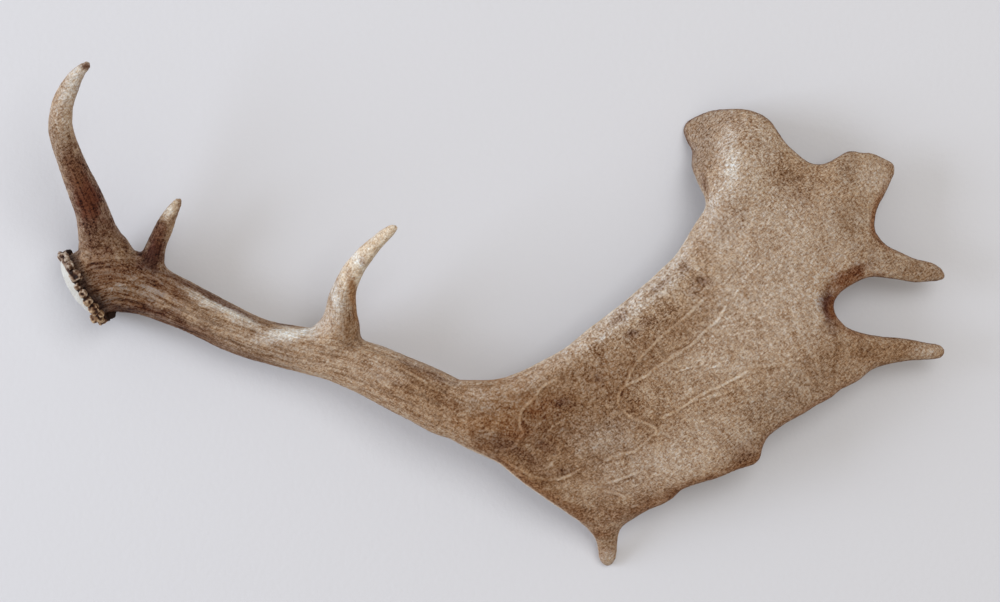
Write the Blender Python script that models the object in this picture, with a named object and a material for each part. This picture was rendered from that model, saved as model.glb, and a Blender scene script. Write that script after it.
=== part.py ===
"""A cast fallow deer antler on its back: a round beam with a pearled burr, three tines and a broad palm.

Places are in millimetres from the middle of the burr: X runs along the antler towards the palm, Y towards the
brow tine's tip, and Z up from the surface that the antler lies on. The finished nodes are in metres, with the
origin under the middle of the whole antler.
"""

import math
import random

import bmesh
import bpy
import numpy as np
from mathutils import Matrix, Vector, noise

MM = 0.001

# Driving dimensions
BURR_RADIUS = 30.0  # over the pearls
BURR_HEIGHT = 28.6  # the burr's middle, so that its lowest pearls meet the surface
BURR_TURN = math.radians(31)  # the burr's axis in plan, away from X
BURR_TILT = math.radians(-7)  # the seal looks a little upwards
PEARL_COUNT = 25
PEARL_SEED = 11
PEARL_OUTWARDS = (4.4, 5.6)  # least and most reach of a pearl outwards, round the ring and along the beam
PEARL_ROUND = (2.9, 3.7)
PEARL_ALONG = (4.0, 5.2)
PEARL_SET_BACK = (0.0, 0.9)  # of its outer side from the full burr radius
PEARL_SHIFT = (-0.8, 1.2)  # along the beam, from the burr's middle
PEARL_UNEVENNESS = 0.2  # share of the spacing by which a pearl may leave its place round the ring
PEARL_OVER_FOOT = 4.0  # how much further the pearls at the lower end of the burr reach along the beam
SECOND_ROW_SHARE = 0.5  # of the pearls have a small one beside them on the beam side
SMALL_PEARL = (3.0, 2.4, 2.8)
SMALL_PEARL_TURN = 0.12  # radians round the ring from its neighbour
SMALL_PEARL_INWARDS = 3.0
SMALL_PEARL_ALONG = 5.5
SEAL_RADIUS = 22.0
SEAL_BULGE = 8.5
SEAL_SHIFT = 2.5  # the seal sits a little towards the brow tine
FLUTE_COUNT = 13  # lengthwise ridges around the beam
FLUTE_DEPTH = 0.55
FLUTE_TWIST = 0.08  # radians of the flute's wave from one ring to the next
FLUTE_WANDER = 0.35  # radians either way, slowly to and fro
FLUTE_WANDER_STEP = 0.4
BEAM_SIDES = 52
TINE_SIDES = 20
RIM_ROUNDING = 1.35  # how far in from its edge the palm reaches full thickness, for each mm of half thickness
RIM_START = 0.4  # the rounding starts this far outside the outline, so that the rim isn't a knife edge
CELL = 3.0  # grid spacing of the palm before it is fused with the beam
VOXEL = 1.3
FORK_SOFTENING = 30.0  # reach of the smooth webs between the beam and its tines
WEB_FULLNESS = 2.0  # above 1, so that the softening is full well before the fork's middle
BURR_CRISP = 9.0  # along the beam, how far from the burr's middle the pearls keep their own shapes
BURR_CRISP_FADE = 4.0
SMOOTH_ALL = 1  # rounds of smoothing of the fused skin: all of it, the part beyond the burr, and the forks
SMOOTH_BEYOND_BURR = 4
SMOOTH_FORKS = 60
UNEVENNESS = 0.45  # slow swells over the whole surface
SWELL_LENGTH = 24.0
FOOT_FLAT = 0.8  # worn off the lowest point of each foot, so that it has a small flat to rest on
GAP = 0.3  # between neighbouring nodes at the cuts

# Beam: x, y, z of the middle, width in plan, thickness
BEAM = [
    (0, 0, 29, 47, 46),
    (12, 5, 29, 46, 45),
    (24, 6, 28, 44, 42),
    (36, 3, 27, 41, 38),
    (48, -2, 26, 37, 34),
    (68, -11, 25, 32, 31),
    (94, -24, 24, 31, 30),
    (119, -35, 25, 29, 28),
    (143, -41, 28, 30, 28),
    (168, -46, 31, 32, 29),
    (188, -52, 34, 35, 29),
    (209, -61, 37, 37, 29),
    (233, -72, 41, 40, 28),
    (255, -83, 44, 40, 24),
    (276, -89, 45, 32, 16),
    (296, -92, 45, 20, 9),
]

# Tines: x, y, z of the middle, width
BROW_TINE = [
    (21, 1, 27, 36),
    (18, 14, 30, 42),
    (15.5, 25, 35, 38),
    (13.5, 35, 41, 29),
    (10.5, 50, 51, 23),
    (6, 66, 62, 21),
    (-1, 86, 74, 18.5),
    (-5.5, 105, 84, 16.5),
    (-3.5, 122, 91, 14.5),
    (3, 135, 95, 12),
    (9, 143, 98, 8.5),
    (13, 146.5, 99, 6.5),
    (16.5, 148.5, 100, 4),
]
SECOND_TINE = [
    (41, -2, 26, 20),
    (45, 10, 29, 22),
    (49, 21, 33, 18),
    (52.5, 31, 36, 14.5),
    (57, 40, 39, 12.5),
    (61.5, 49, 42, 10),
    (66, 56, 44, 7.5),
    (69.5, 61, 45, 4.5),
]
TREZ_TINE = [
    (160, -54, 26, 20),
    (168, -47, 29, 30),
    (174, -36, 33, 34),
    (178, -27, 38, 30),
    (179.5, -15, 45, 21.5),
    (182, -2, 54, 17),
    (189, 12, 64, 14),
    (198, 23, 73, 11.4),
    (207, 31.5, 80.5, 9.4),
    (213, 36.5, 84.5, 8.4),
    (217, 39.5, 86.5, 6.6),
    (219.5, 41.3, 87.6, 3.6),
]
TINE_FLATTENING = 0.88  # thickness over width

# Palm outline, clockwise as seen from above: x, y, and the height of the blade's middle there
NECK = [
    (246, -98, 44),
    (235, -88, 43),
    (231, -77, 42),
    (238, -68, 42),
    (250, -63.5, 43),
]
FRONT_EDGE = [
    (262, -63, 45),
    (283, -63, 46),
    (299, -59, 47),
    (316, -51, 48),
    (336, -39, 49),
    (356, -23, 49),
    (376, -7, 48),
    (394, 8, 47),
    (410, 24, 45),
    (422, 43, 42),
    (429, 54, 39),
]
FORWARD_LOBE = [
    (429, 62, 33),
    (425, 72, 26),
    (421.5, 84, 20),
    (422.5, 95, 13),
    (419.5, 102, 6),
    (417, 110, 2),
    (419, 116, 1),
    (425, 120, 4),
    (433, 123, 11),
    (442, 124.5, 18),
    (454, 124, 24),
    (466, 121, 28),
    (475, 115, 30),
    (480, 107, 31),
]
TOP_BAY = [
    (485.5, 99, 32),
    (493, 92, 33),
    (500.5, 86.5, 34),
    (509, 85, 34),
    (517, 87.5, 33),
]
TOP_LOBE = [
    (525, 92.5, 31),
    (531, 94.5, 30),
    (537, 93, 29),
    (546, 92.5, 27),
    (555, 89, 25),
    (560.5, 86, 24),
    (561.5, 81, 24),
    (558.5, 74, 26),
    (553.5, 64, 29),
]
UPPER_BAY = [
    (548, 54, 32),
    (546, 44, 33),
    (548, 37, 33),
    (554.5, 29.5, 32),
]
UPPER_SPELLER = [
    (564, 24.5, 31),
    (574.5, 20, 29),
    (586, 17.5, 27),
    (592.5, 14, 25),
    (596, 9, 24),
    (594.5, 6, 24),
    (586, 5, 25),
    (573, 4.5, 28),
    (559.5, 6.5, 31),
]
SPELLER_BAY = [
    (545.5, 8, 34),
    (534.5, 5, 36),
    (524.5, -1, 37),
    (518.5, -8.5, 38),
    (517.5, -15, 38),
    (520.5, -21.5, 38),
    (527.5, -27.5, 37),
    (537.5, -31.5, 35),
]
LOWER_SPELLER = [
    (548.5, -33.5, 33),
    (564, -35, 30),
    (580, -37.5, 27),
    (592, -39.5, 24),
    (596, -43.5, 23),
    (593.5, -48, 23),
    (586, -49.5, 25),
    (568, -50.5, 29),
    (553.5, -53, 32),
]
REAR_EDGE = [
    (543.5, -56.5, 34),
    (536.5, -62.5, 36),
    (529, -66.5, 37),
    (521.5, -70, 38),
    (515, -76, 39),
    (504.5, -81.5, 40),
    (494, -88, 40),
    (481.5, -95, 41),
    (472.5, -101.5, 41),
    (468.5, -109, 41),
    (466, -117.5, 41),
    (461, -121.5, 41),
    (449.5, -125, 41),
    (435.5, -131, 40),
    (423.5, -134.5, 38),
    (413.5, -138.5, 36),
    (407.5, -144.5, 34),
    (399.5, -149.5, 31),
    (390.5, -153, 28),
    (381, -159, 24),
    (373, -166, 19),
]
GUARD_TINE = [
    (370.5, -173, 14),
    (370, -181.5, 8),
    (368.5, -190, 4.5),
    (363.5, -194.5, 3.5),
    (358.5, -190.5, 4.5),
    (356.5, -182, 8),
    (355, -175.5, 13),
    (351, -169, 18),
]
BACK_EDGE = [
    (343.5, -162, 24),
    (334, -155, 29),
    (321.5, -146.5, 33),
    (309, -137.5, 36),
    (297, -127.5, 39),
    (288, -120.5, 41),
    (278, -115.5, 43),
    (264, -109, 44),
]
PALM_OUTLINE = (
    NECK
    + FRONT_EDGE
    + FORWARD_LOBE
    + TOP_BAY
    + TOP_LOBE
    + UPPER_BAY
    + UPPER_SPELLER
    + SPELLER_BAY
    + LOWER_SPELLER
    + REAR_EDGE
    + GUARD_TINE
    + BACK_EDGE
)
BEND_EVERY = 3  # outline points that hold the blade's height, one in so many

# Heights of the blade's middle inside the outline: a crest folds over into the forward lobe
PALM_HEIGHTS = [
    (270, -86, 46),
    (300, -90, 45),
    (330, -95, 43),
    (352, -78, 45),
    (356, -122, 40),
    (385, -60, 47),
    (395, -100, 45),
    (420, -40, 48),
    (430, -85, 46),
    (432, 62, 42),
    (440, 78, 41),
    (447, 94, 38),
    (452, 108, 33),
    (452, -5, 48),
    (470, -50, 47),
    (480, 20, 46),
    (478, 70, 41),
    (505, -30, 44),
    (505, 30, 42),
    (525, 60, 37),
]

# Half the blade's thickness: full by the beam and along the front edge, thin towards the rear
PALM_HALF_THICKNESS = [
    (232, -77, 10.0),
    (250, -65, 12.0),
    (250, -98, 11.0),
    (262, -84, 12.5),
    (283, -64, 11.0),
    (288, -112, 8.0),
    (300, -90, 9.0),
    (316, -52, 9.0),
    (321, -140, 6.0),
    (345, -100, 6.0),
    (356, -24, 8.0),
    (362, -168, 5.5),
    (363, -190, 4.6),
    (394, 7, 7.5),
    (395, -70, 5.0),
    (400, -148, 4.0),
    (422, 42, 7.2),
    (432, 66, 7.0),
    (440, 90, 6.0),
    (440, -10, 5.6),
    (420, 116, 5.0),
    (460, 118, 4.8),
    (461, -118, 3.8),
    (470, -50, 4.6),
    (480, 20, 4.6),
    (500, 84, 4.2),
    (505, -30, 4.4),
    (516, -76, 3.8),
    (520, -15, 4.2),
    (545, 84, 4.6),
    (548, 40, 4.2),
    (565, 14, 5.4),
    (565, -43, 5.4),
    (594, 10, 4.0),
    (594, -44, 4.0),
]

WEBS = [(17, 22, 36), (47, 16, 32), (173, -33, 38)]  # middles of the forks that grow smoothly together

# Forks: a point on the cut, the direction out of the beam in plan, width and length of the cut block
FORKS = {
    "brow_tine": ((14, 34), 97, 58, 140),
    "second_tine": ((52.5, 30.5), 66, 27, 60),
    "trez_tine": ((177.5, -20), 82, 110, 90),
    "palm": ((262, -86), -8, 640, 400),
}
CUT_BLOCK_HEIGHT = 300.0
SURFACE_BLOCK = (1000, 1000, 100)  # what the antler lies on, which flattens its feet

TRIANGLES = 9050  # of the whole antler before it is parted
BONE_COLOURS = {
    "beam": (0.27, 0.20, 0.15),
    "brow_tine": (0.24, 0.15, 0.10),
    "second_tine": (0.34, 0.26, 0.18),
    "trez_tine": (0.55, 0.46, 0.35),
    "palm": (0.38, 0.28, 0.20),
}


def clear_scene():
    for obj in list(bpy.data.objects):
        bpy.data.objects.remove(obj, do_unlink=True)


def smooth_run(points, closed=False, between=6):
    """Points along a smooth curve that passes through the given ones, whatever numbers they carry."""
    known = np.array(points, float)
    if closed:
        padded = np.vstack([known[-1], known, known[:2]])
    else:
        padded = np.vstack([2 * known[0] - known[1], known, 2 * known[-1] - known[-2]])
    run = []
    for before, here, there, after in zip(padded, padded[1:], padded[2:], padded[3:]):
        for step in range(between):
            t = step / between
            bend = 2 * before - 5 * here + 4 * there - after
            swing = 3 * here - before - 3 * there + after
            run.append(here + t * ((there - before) + t * (bend + t * swing)) / 2)
    if not closed:
        run.append(known[-1])
    return np.array(run)


def thin_plate(anchors):
    """A function of x and y: the smooth sheet that passes through each (x, y, value)."""
    anchors = np.array(anchors, float)
    places = anchors[:, :2]

    def bending(a, b):
        squared = ((a[:, None, :] - b[None, :, :]) ** 2).sum(axis=2) + 1e-9
        return squared * np.log(squared)

    count = len(anchors)
    flat = np.hstack([np.ones((count, 1)), places])
    system = np.zeros((count + 3, count + 3))
    system[:count, :count] = bending(places, places)
    system[:count, count:] = flat
    system[count:, :count] = flat.T
    weights = np.linalg.solve(system, np.concatenate([anchors[:, 2], np.zeros(3)]))

    def value(at):
        return bending(at, places) @ weights[:count] + weights[count] + at @ weights[count + 1 :]

    return value


def distance_to_edge(points, outline):
    """How far each point lies from the closed outline."""
    nearest = np.full(len(points), np.inf)
    for start, end in zip(outline, np.roll(outline, -1, axis=0)):
        along = end - start
        share = np.clip((points - start) @ along / (along @ along), 0, 1)
        offset = points - (start + share[:, None] * along)
        nearest = np.minimum(nearest, np.hypot(offset[:, 0], offset[:, 1]))
    return nearest


def ring_edges(ring):
    members = set(ring)
    return [edge for edge in {e for v in ring for e in v.link_edges} if set(edge.verts) <= members]


def add_tube(bm, stations, sides, flute_depth=0.0):
    """A closed tube of oval rings. Flutes run along it and wander slowly round it."""
    run = smooth_run(stations, between=3)
    middles = run[:, :3]
    rings = []
    for number, (x, y, z, width, thickness) in enumerate(run):
        ahead = Vector(middles[min(number + 1, len(run) - 1)] - middles[max(number - 1, 0)]).normalized()
        across = Vector((0, 0, 1)).cross(ahead).normalized()
        upward = ahead.cross(across)
        frame = Matrix((across * width / 2, upward * thickness / 2, ahead)).transposed().to_4x4()
        frame.translation = Vector((x, y, z))
        ring = bmesh.ops.create_circle(bm, segments=sides, radius=1.0, matrix=frame)["verts"]
        for place, vert in enumerate(ring):
            round_angle = 2 * math.pi * place / sides
            wander = FLUTE_WANDER * math.sin(number * FLUTE_WANDER_STEP) + FLUTE_TWIST * number
            ridge = math.cos(FLUTE_COUNT * round_angle + wander)
            out = (vert.co - frame.translation).normalized()
            vert.co += out * flute_depth * ridge
        if rings:
            bmesh.ops.bridge_loops(bm, edges=ring_edges(rings[-1]) + ring_edges(ring))
        rings.append(ring)
    bm.faces.new(rings[0])
    bm.faces.new(rings[-1])


def add_tine(bm, stations):
    add_tube(bm, [(*s, s[3] * TINE_FLATTENING) for s in stations], TINE_SIDES)


def burr_frame():
    """The burr's own axes: its Z is the beam's axis, pointing into the beam."""
    turn = Matrix.Rotation(BURR_TURN, 4, "Z")
    lean = Matrix.Rotation(math.pi / 2 - BURR_TILT, 4, "Y")
    return Matrix.Translation((0, 0, BURR_HEIGHT)) @ turn @ lean


def add_burr(bm):
    """The burr: a ring of uneven pearls round the foot of the beam, some of them in a second row."""
    draw = random.Random(PEARL_SEED)
    frame = burr_frame()
    for number in range(PEARL_COUNT):
        angle = 2 * math.pi * (number + draw.uniform(-PEARL_UNEVENNESS, PEARL_UNEVENNESS)) / PEARL_COUNT
        foot = PEARL_OVER_FOOT * max(0.0, -math.sin(angle)) ** 2
        reach = draw.uniform(*PEARL_OUTWARDS)
        size = Vector((reach, draw.uniform(*PEARL_ROUND), draw.uniform(*PEARL_ALONG) + foot / 2))
        out = BURR_RADIUS - reach - draw.uniform(*PEARL_SET_BACK)
        along = draw.uniform(*PEARL_SHIFT) + foot / 2
        place = Matrix.Rotation(angle, 4, "Z") @ Matrix.Translation((out, 0, along))
        shape = place @ Matrix.Diagonal((*size, 1.0))
        bmesh.ops.create_icosphere(bm, subdivisions=2, radius=1.0, matrix=frame @ shape)
        if draw.random() < SECOND_ROW_SHARE:
            beside = Matrix.Translation((out - SMALL_PEARL_INWARDS, 0, along + SMALL_PEARL_ALONG))
            small = Matrix.Rotation(angle + SMALL_PEARL_TURN, 4, "Z") @ beside
            small @= Matrix.Diagonal((*SMALL_PEARL, 1.0))
            bmesh.ops.create_icosphere(bm, subdivisions=2, radius=1.0, matrix=frame @ small)


def add_seal(bm):
    """The seal: the bulging foot where the antler broke from the skull."""
    size = Matrix.Diagonal((SEAL_RADIUS, SEAL_RADIUS, SEAL_BULGE, 1.0))
    dome = Matrix.Translation((0, SEAL_SHIFT, 0)) @ size
    bmesh.ops.create_uvsphere(bm, u_segments=32, v_segments=16, radius=1.0, matrix=burr_frame() @ dome)


def add_palm(bm):
    """The palm: a gridded sheet of the outline, given thickness that rounds off at its edge."""
    outline = smooth_run(PALM_OUTLINE, closed=True, between=4)[:, :2]
    sheet = bmesh.new()
    sheet.faces.new([sheet.verts.new((x, y, 0.0)) for x, y in outline])
    bmesh.ops.triangulate(sheet, faces=sheet.faces[:])
    low, high = outline.min(axis=0), outline.max(axis=0)
    for axis, normal in enumerate(((1, 0, 0), (0, 1, 0))):
        for place in np.arange(low[axis] + CELL / 2, high[axis], CELL):
            everything = sheet.verts[:] + sheet.edges[:] + sheet.faces[:]
            bmesh.ops.bisect_plane(
                sheet, geom=everything, plane_co=[place * n for n in normal], plane_no=normal
            )
    raised = bmesh.ops.extrude_face_region(sheet, geom=sheet.faces[:], use_keep_orig=True)["geom"]
    upper = {element for element in raised if isinstance(element, bmesh.types.BMVert)}
    verts = sheet.verts[:]
    places = np.array([vert.co[:2] for vert in verts])
    height = thin_plate(PALM_OUTLINE[::BEND_EVERY] + PALM_HEIGHTS)(places)
    half = thin_plate(PALM_HALF_THICKNESS)(places)
    inwards = np.clip((distance_to_edge(places, outline) + RIM_START) / (half * RIM_ROUNDING), 0, 1)
    half *= np.sqrt(1 - (1 - inwards) ** 2)
    for vert, middle, reach in zip(verts, height, half):
        vert.co.z = middle + (reach if vert in upper else -reach)
    bmesh.ops.recalc_face_normals(sheet, faces=sheet.faces[:])
    blade = bpy.data.meshes.new("blade")
    sheet.to_mesh(blade)
    sheet.free()
    bm.from_mesh(blade)
    bpy.data.meshes.remove(blade)


def mesh_object(name, bm):
    mesh = bpy.data.meshes.new(name)
    bm.to_mesh(mesh)
    bm.free()
    obj = bpy.data.objects.new(name, mesh)
    bpy.context.scene.collection.objects.link(obj)
    return obj


def settle(obj):
    """Gives the object the mesh that its modifiers make."""
    graph = bpy.context.evaluated_depsgraph_get()
    finished = bpy.data.meshes.new_from_object(obj.evaluated_get(graph))
    obj.modifiers.clear()
    obj.data = finished


def add_smoothing(obj, iterations, group=""):
    smoothing = obj.modifiers.new("smooth_" + (group or "all"), "SMOOTH")
    smoothing.factor = 0.5
    smoothing.iterations = iterations
    smoothing.vertex_group = group


def near_a_fork(place):
    """1 at a fork, fading to 0 with distance."""
    nearest = min((place - Vector(web)).length for web in WEBS)
    return WEB_FULLNESS * (1 - nearest / FORK_SOFTENING)


def away_from_burr(place):
    """0 on the burr, rising to 1 a little way up the beam."""
    along = (burr_frame().inverted() @ place).z
    return (abs(along) - BURR_CRISP) / BURR_CRISP_FADE


def mark(obj, name, weight_at):
    """A vertex group with the weight that each place has."""
    group = obj.vertex_groups.new(name=name)
    for vert in obj.data.vertices:
        weight = min(1.0, weight_at(vert.co / MM))
        if weight > 0:
            group.add([vert.index], weight, "REPLACE")


def add_swells(obj):
    for vert, normal in zip(obj.data.vertices, [vert.normal.copy() for vert in obj.data.vertices]):
        swell = noise.noise(vert.co / (SWELL_LENGTH * MM))
        vert.co += normal * swell * UNEVENNESS * MM


def thin_out(obj, triangles):
    """Keeps the triangles where the surface bends most."""
    obj.data.calc_loop_triangles()
    thin = obj.modifiers.new("thin", "DECIMATE")
    thin.ratio = min(1.0, triangles / len(obj.data.loop_triangles))
    thin.use_collapse_triangulate = True
    settle(obj)


def fused_antler():
    """The whole antler as one closed skin."""
    bm = bmesh.new()
    add_tube(bm, BEAM, BEAM_SIDES, FLUTE_DEPTH)
    add_tine(bm, BROW_TINE)
    add_tine(bm, SECOND_TINE)
    add_tine(bm, TREZ_TINE)
    add_burr(bm)
    add_seal(bm)
    bmesh.ops.recalc_face_normals(bm, faces=bm.faces[:])
    add_palm(bm)
    bmesh.ops.scale(bm, vec=(MM, MM, MM), verts=bm.verts[:])
    whole = mesh_object("whole_antler", bm)
    fuse = whole.modifiers.new("fuse", "REMESH")
    fuse.mode = "VOXEL"
    fuse.voxel_size = VOXEL * MM
    settle(whole)
    mark(whole, "beyond_burr", away_from_burr)
    mark(whole, "webs", near_a_fork)
    add_smoothing(whole, SMOOTH_ALL)
    add_smoothing(whole, SMOOTH_BEYOND_BURR, "beyond_burr")
    add_smoothing(whole, SMOOTH_FORKS, "webs")
    settle(whole)
    whole.vertex_groups.clear()
    add_swells(whole)
    thin_out(whole, TRIANGLES)
    return whole


def bring_to_origin(obj):
    """Moves the antler's middle over the origin, its feet just below the surface, and says by how much."""
    places = np.array([vert.co for vert in obj.data.vertices])
    middle = (places.min(axis=0) + places.max(axis=0)) / 2
    shift = Vector((-middle[0], -middle[1], -FOOT_FLAT * MM))
    obj.data.transform(Matrix.Translation(shift))
    return shift


def cutter(name, size, place):
    """A hidden block of the size in millimetres, moved by the matrix place."""
    bm = bmesh.new()
    bmesh.ops.create_cube(bm, size=1.0)
    bmesh.ops.scale(bm, vec=[side * MM for side in size], verts=bm.verts[:])
    bmesh.ops.transform(bm, matrix=place, verts=bm.verts[:])
    block = mesh_object(name, bm)
    block.hide_render = True
    block.display_type = "WIRE"
    return block


def fork_block(name, fork, shift, gap):
    """A block that starts at the fork and covers all that grows out of the beam there."""
    (x, y), bearing, width, length = fork
    outwards = Matrix.Translation(((length / 2 + gap) * MM, 0, 0))
    turn = Matrix.Rotation(math.radians(bearing), 4, "Z")
    place = Matrix.Translation(Vector((x * MM, y * MM, 0)) + shift) @ turn @ outwards
    return cutter(name, (length, width, CUT_BLOCK_HEIGHT), place)


def take(whole, name, blocks, operation, surface):
    """A node: the antler inside its block, or without the blocks, and flat where it meets the surface."""
    node = bpy.data.objects.new(name, whole.data.copy())
    bpy.context.scene.collection.objects.link(node)
    for block in blocks:
        add_cut(node, block, operation)
    add_cut(node, surface, "DIFFERENCE")
    settle(node)
    return node


def add_cut(node, block, operation):
    cut = node.modifiers.new(block.name, "BOOLEAN")
    cut.operation = operation
    cut.solver = "EXACT"
    cut.object = block


def bone(name, colour):
    material = bpy.data.materials.new(name + "_bone")
    material.use_nodes = True
    shader = material.node_tree.nodes["Principled BSDF"]
    shader.inputs["Base Color"].default_value = (*colour, 1.0)
    shader.inputs["Roughness"].default_value = 0.6
    shader.inputs["Metallic"].default_value = 0.0
    return material


def place_node(node, at, parent):
    """Moves the node's own origin to its fork."""
    node.data.transform(Matrix.Translation(-at))
    node.location = at
    node.parent = parent
    node.data.shade_smooth()
    node.data.materials.clear()
    node.data.materials.append(bone(node.name, BONE_COLOURS[node.name]))


def build():
    clear_scene()
    whole = fused_antler()
    shift = bring_to_origin(whole)
    surface = cutter("surface", SURFACE_BLOCK, Matrix.Translation((0, 0, -SURFACE_BLOCK[2] * MM / 2)))
    forks = [fork_block("cut_" + name, fork, shift, 0.0) for name, fork in FORKS.items()]
    nodes = [take(whole, "beam", forks, "DIFFERENCE", surface)]
    for name, fork in FORKS.items():
        block = fork_block("keep_" + name, fork, shift, GAP)
        nodes.append(take(whole, name, [block], "INTERSECT", surface))
    bpy.data.objects.remove(whole, do_unlink=True)
    root = bpy.data.objects.new("antler", None)
    bpy.context.scene.collection.objects.link(root)
    origins = {name: Vector((*(value * MM for value in fork[0]), 0)) for name, fork in FORKS.items()}
    origins["beam"] = Vector((0, 0, 0))
    for node in nodes:
        place_node(node, origins[node.name] + shift, root)


build()
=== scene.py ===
# %% [markdown]
# A fallow deer antler, cast in spring, lies on its back with its tines up. The imported model holds its true
# sizes, so it is loaded first, and everything that this script makes is fitted round it. Its box is kept: the
# burr, and with it the camera, is placed from its lowest corner.

# %% Load the frame
import math
import random

import bmesh
import bpy
import numpy as np
from mathutils import Matrix, Vector, noise


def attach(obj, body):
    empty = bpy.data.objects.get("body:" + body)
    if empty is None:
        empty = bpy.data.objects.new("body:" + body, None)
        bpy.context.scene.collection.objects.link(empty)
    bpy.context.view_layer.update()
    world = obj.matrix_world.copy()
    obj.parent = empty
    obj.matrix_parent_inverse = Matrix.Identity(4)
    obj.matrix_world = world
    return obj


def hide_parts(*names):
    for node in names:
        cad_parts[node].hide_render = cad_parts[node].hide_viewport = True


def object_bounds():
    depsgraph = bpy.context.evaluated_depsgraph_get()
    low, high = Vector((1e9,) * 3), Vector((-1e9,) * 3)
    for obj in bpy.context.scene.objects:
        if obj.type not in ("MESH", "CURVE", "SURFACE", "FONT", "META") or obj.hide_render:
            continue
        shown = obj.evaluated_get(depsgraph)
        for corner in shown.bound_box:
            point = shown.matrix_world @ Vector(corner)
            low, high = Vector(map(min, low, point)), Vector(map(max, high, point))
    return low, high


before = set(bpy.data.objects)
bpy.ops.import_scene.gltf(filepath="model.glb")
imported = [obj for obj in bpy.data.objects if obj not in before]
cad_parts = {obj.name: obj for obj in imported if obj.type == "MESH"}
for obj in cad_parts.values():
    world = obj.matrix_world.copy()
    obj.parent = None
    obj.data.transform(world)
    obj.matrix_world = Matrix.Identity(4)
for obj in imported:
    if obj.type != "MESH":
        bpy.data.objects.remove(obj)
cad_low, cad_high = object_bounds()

MM = 0.001
print("measured antler, mm:", [round(side / MM, 1) for side in cad_high - cad_low])

# %% [markdown]
# The photograph looks square at the antler from some way off, so the camera hangs straight above it with a
# long lens. The lens could be guessed by eye. Here it is worked out from the burr, whose real width and
# width in pixels are both known. That also tells where any spot of the antler shows in the photograph,
# which the painting further down uses.

# %% Hang the camera
PHOTO_WIDTH_PX = 1000
PHOTO_MIDDLE_PX = (500, 301)
BURR_PX = (82.26, 288.0)
MM_PER_PX = 0.69  # a burr 60 mm across covers 87 pixels
BURR_IN_BOX = Vector((17.3, 194.0, 27.8)) * MM  # its middle, from the box's lowest corner
CAMERA_HEIGHT = 1.8
BURR_DISTANCE = 1.77
SENSOR_MM = 36.0

burr_middle = cad_low + BURR_IN_BOX
camera_data = bpy.data.cameras.new("camera")
camera_data.sensor_width = SENSOR_MM
camera_data.lens = SENSOR_MM * BURR_DISTANCE / (PHOTO_WIDTH_PX * MM_PER_PX * MM)
camera = bpy.data.objects.new("camera", camera_data)
bpy.context.scene.collection.objects.link(camera)
bpy.context.scene.camera = camera
camera.location = (
    burr_middle.x + (PHOTO_MIDDLE_PX[0] - BURR_PX[0]) * MM_PER_PX * MM,
    burr_middle.y + (BURR_PX[1] - PHOTO_MIDDLE_PX[1]) * MM_PER_PX * MM,
    CAMERA_HEIGHT,
)


def in_photo(places):
    """Where each place shows in the photograph, in its pixels."""
    metres_per_px = MM_PER_PX * MM * (CAMERA_HEIGHT - places[:, 2]) / BURR_DISTANCE
    across = PHOTO_MIDDLE_PX[0] + (places[:, 0] - camera.location.x) / metres_per_px
    down = PHOTO_MIDDLE_PX[1] - (places[:, 1] - camera.location.y) / metres_per_px
    return np.column_stack([across, down])


print("lens, mm:", round(camera_data.lens, 2))

# %% [markdown]
# Bone grows as one skin over beam, tines and palm. The measured model is parted at the forks and has flat
# facets. It could be subdivided, but that would keep the partings. Instead the parts are grown by a hair,
# so that they overlap, and a voxel remesh wraps them in one even skin.

# %% Wrap the parts in one skin
MERGE = 0.01 * MM
GROW = 0.25 * MM  # a little over half of the gap at each fork
SKIN_VOXEL = 1.2 * MM


def show(name, mesh):
    obj = bpy.data.objects.new(name, mesh)
    bpy.context.scene.collection.objects.link(obj)
    return obj


def settle(obj):
    """Gives the object the mesh that its modifiers make."""
    graph = bpy.context.evaluated_depsgraph_get()
    finished = bpy.data.meshes.new_from_object(obj.evaluated_get(graph))
    obj.modifiers.clear()
    obj.data = finished


def wrap(bm, name, voxel):
    """One closed, even skin round everything in the bmesh."""
    mesh = bpy.data.meshes.new(name)
    bm.to_mesh(mesh)
    bm.free()
    obj = show(name, mesh)
    remesh = obj.modifiers.new("wrap", "REMESH")
    remesh.mode = "VOXEL"
    remesh.voxel_size = voxel
    settle(obj)
    return obj


def grown(node):
    """A copy of a node's mesh, merged and a hair fatter."""
    bm = bmesh.new()
    bm.from_mesh(node.data)
    bmesh.ops.remove_doubles(bm, verts=bm.verts[:], dist=MERGE)
    bm.normal_update()
    for vert, normal in [(vert, vert.normal.copy()) for vert in bm.verts]:
        vert.co += normal * GROW
    mesh = bpy.data.meshes.new("grown")
    bm.to_mesh(mesh)
    bm.free()
    return mesh


together = bmesh.new()
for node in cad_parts.values():
    together.from_mesh(grown(node))
antler = wrap(together, "antler", SKIN_VOXEL)
print("antler skin:", len(antler.data.polygons), "faces")

# %% [markdown]
# The facets of the model still show in the skin as faint flats. A plain smooth would take them off, but it
# would also wear the tine tips thin. Smoothing in pairs, a step in and a slightly longer step out, clears
# the small flats and leaves the large shapes where they were.

# %% Smooth the facets away
STEP_IN = 0.5
STEP_OUT = -0.53
FACET_ROUNDS = 40


def read_mesh(mesh):
    """The mesh's places, normals and edges as arrays."""
    places = np.zeros(len(mesh.vertices) * 3)
    mesh.vertices.foreach_get("co", places)
    normals = np.zeros(len(mesh.vertices) * 3)
    mesh.vertices.foreach_get("normal", normals)
    edges = np.zeros(len(mesh.edges) * 2, int)
    mesh.edges.foreach_get("vertices", edges)
    return places.reshape(-1, 3), normals.reshape(-1, 3), edges.reshape(-1, 2)


def write_places(mesh, places):
    mesh.vertices.foreach_set("co", places.ravel())
    mesh.update()


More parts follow.
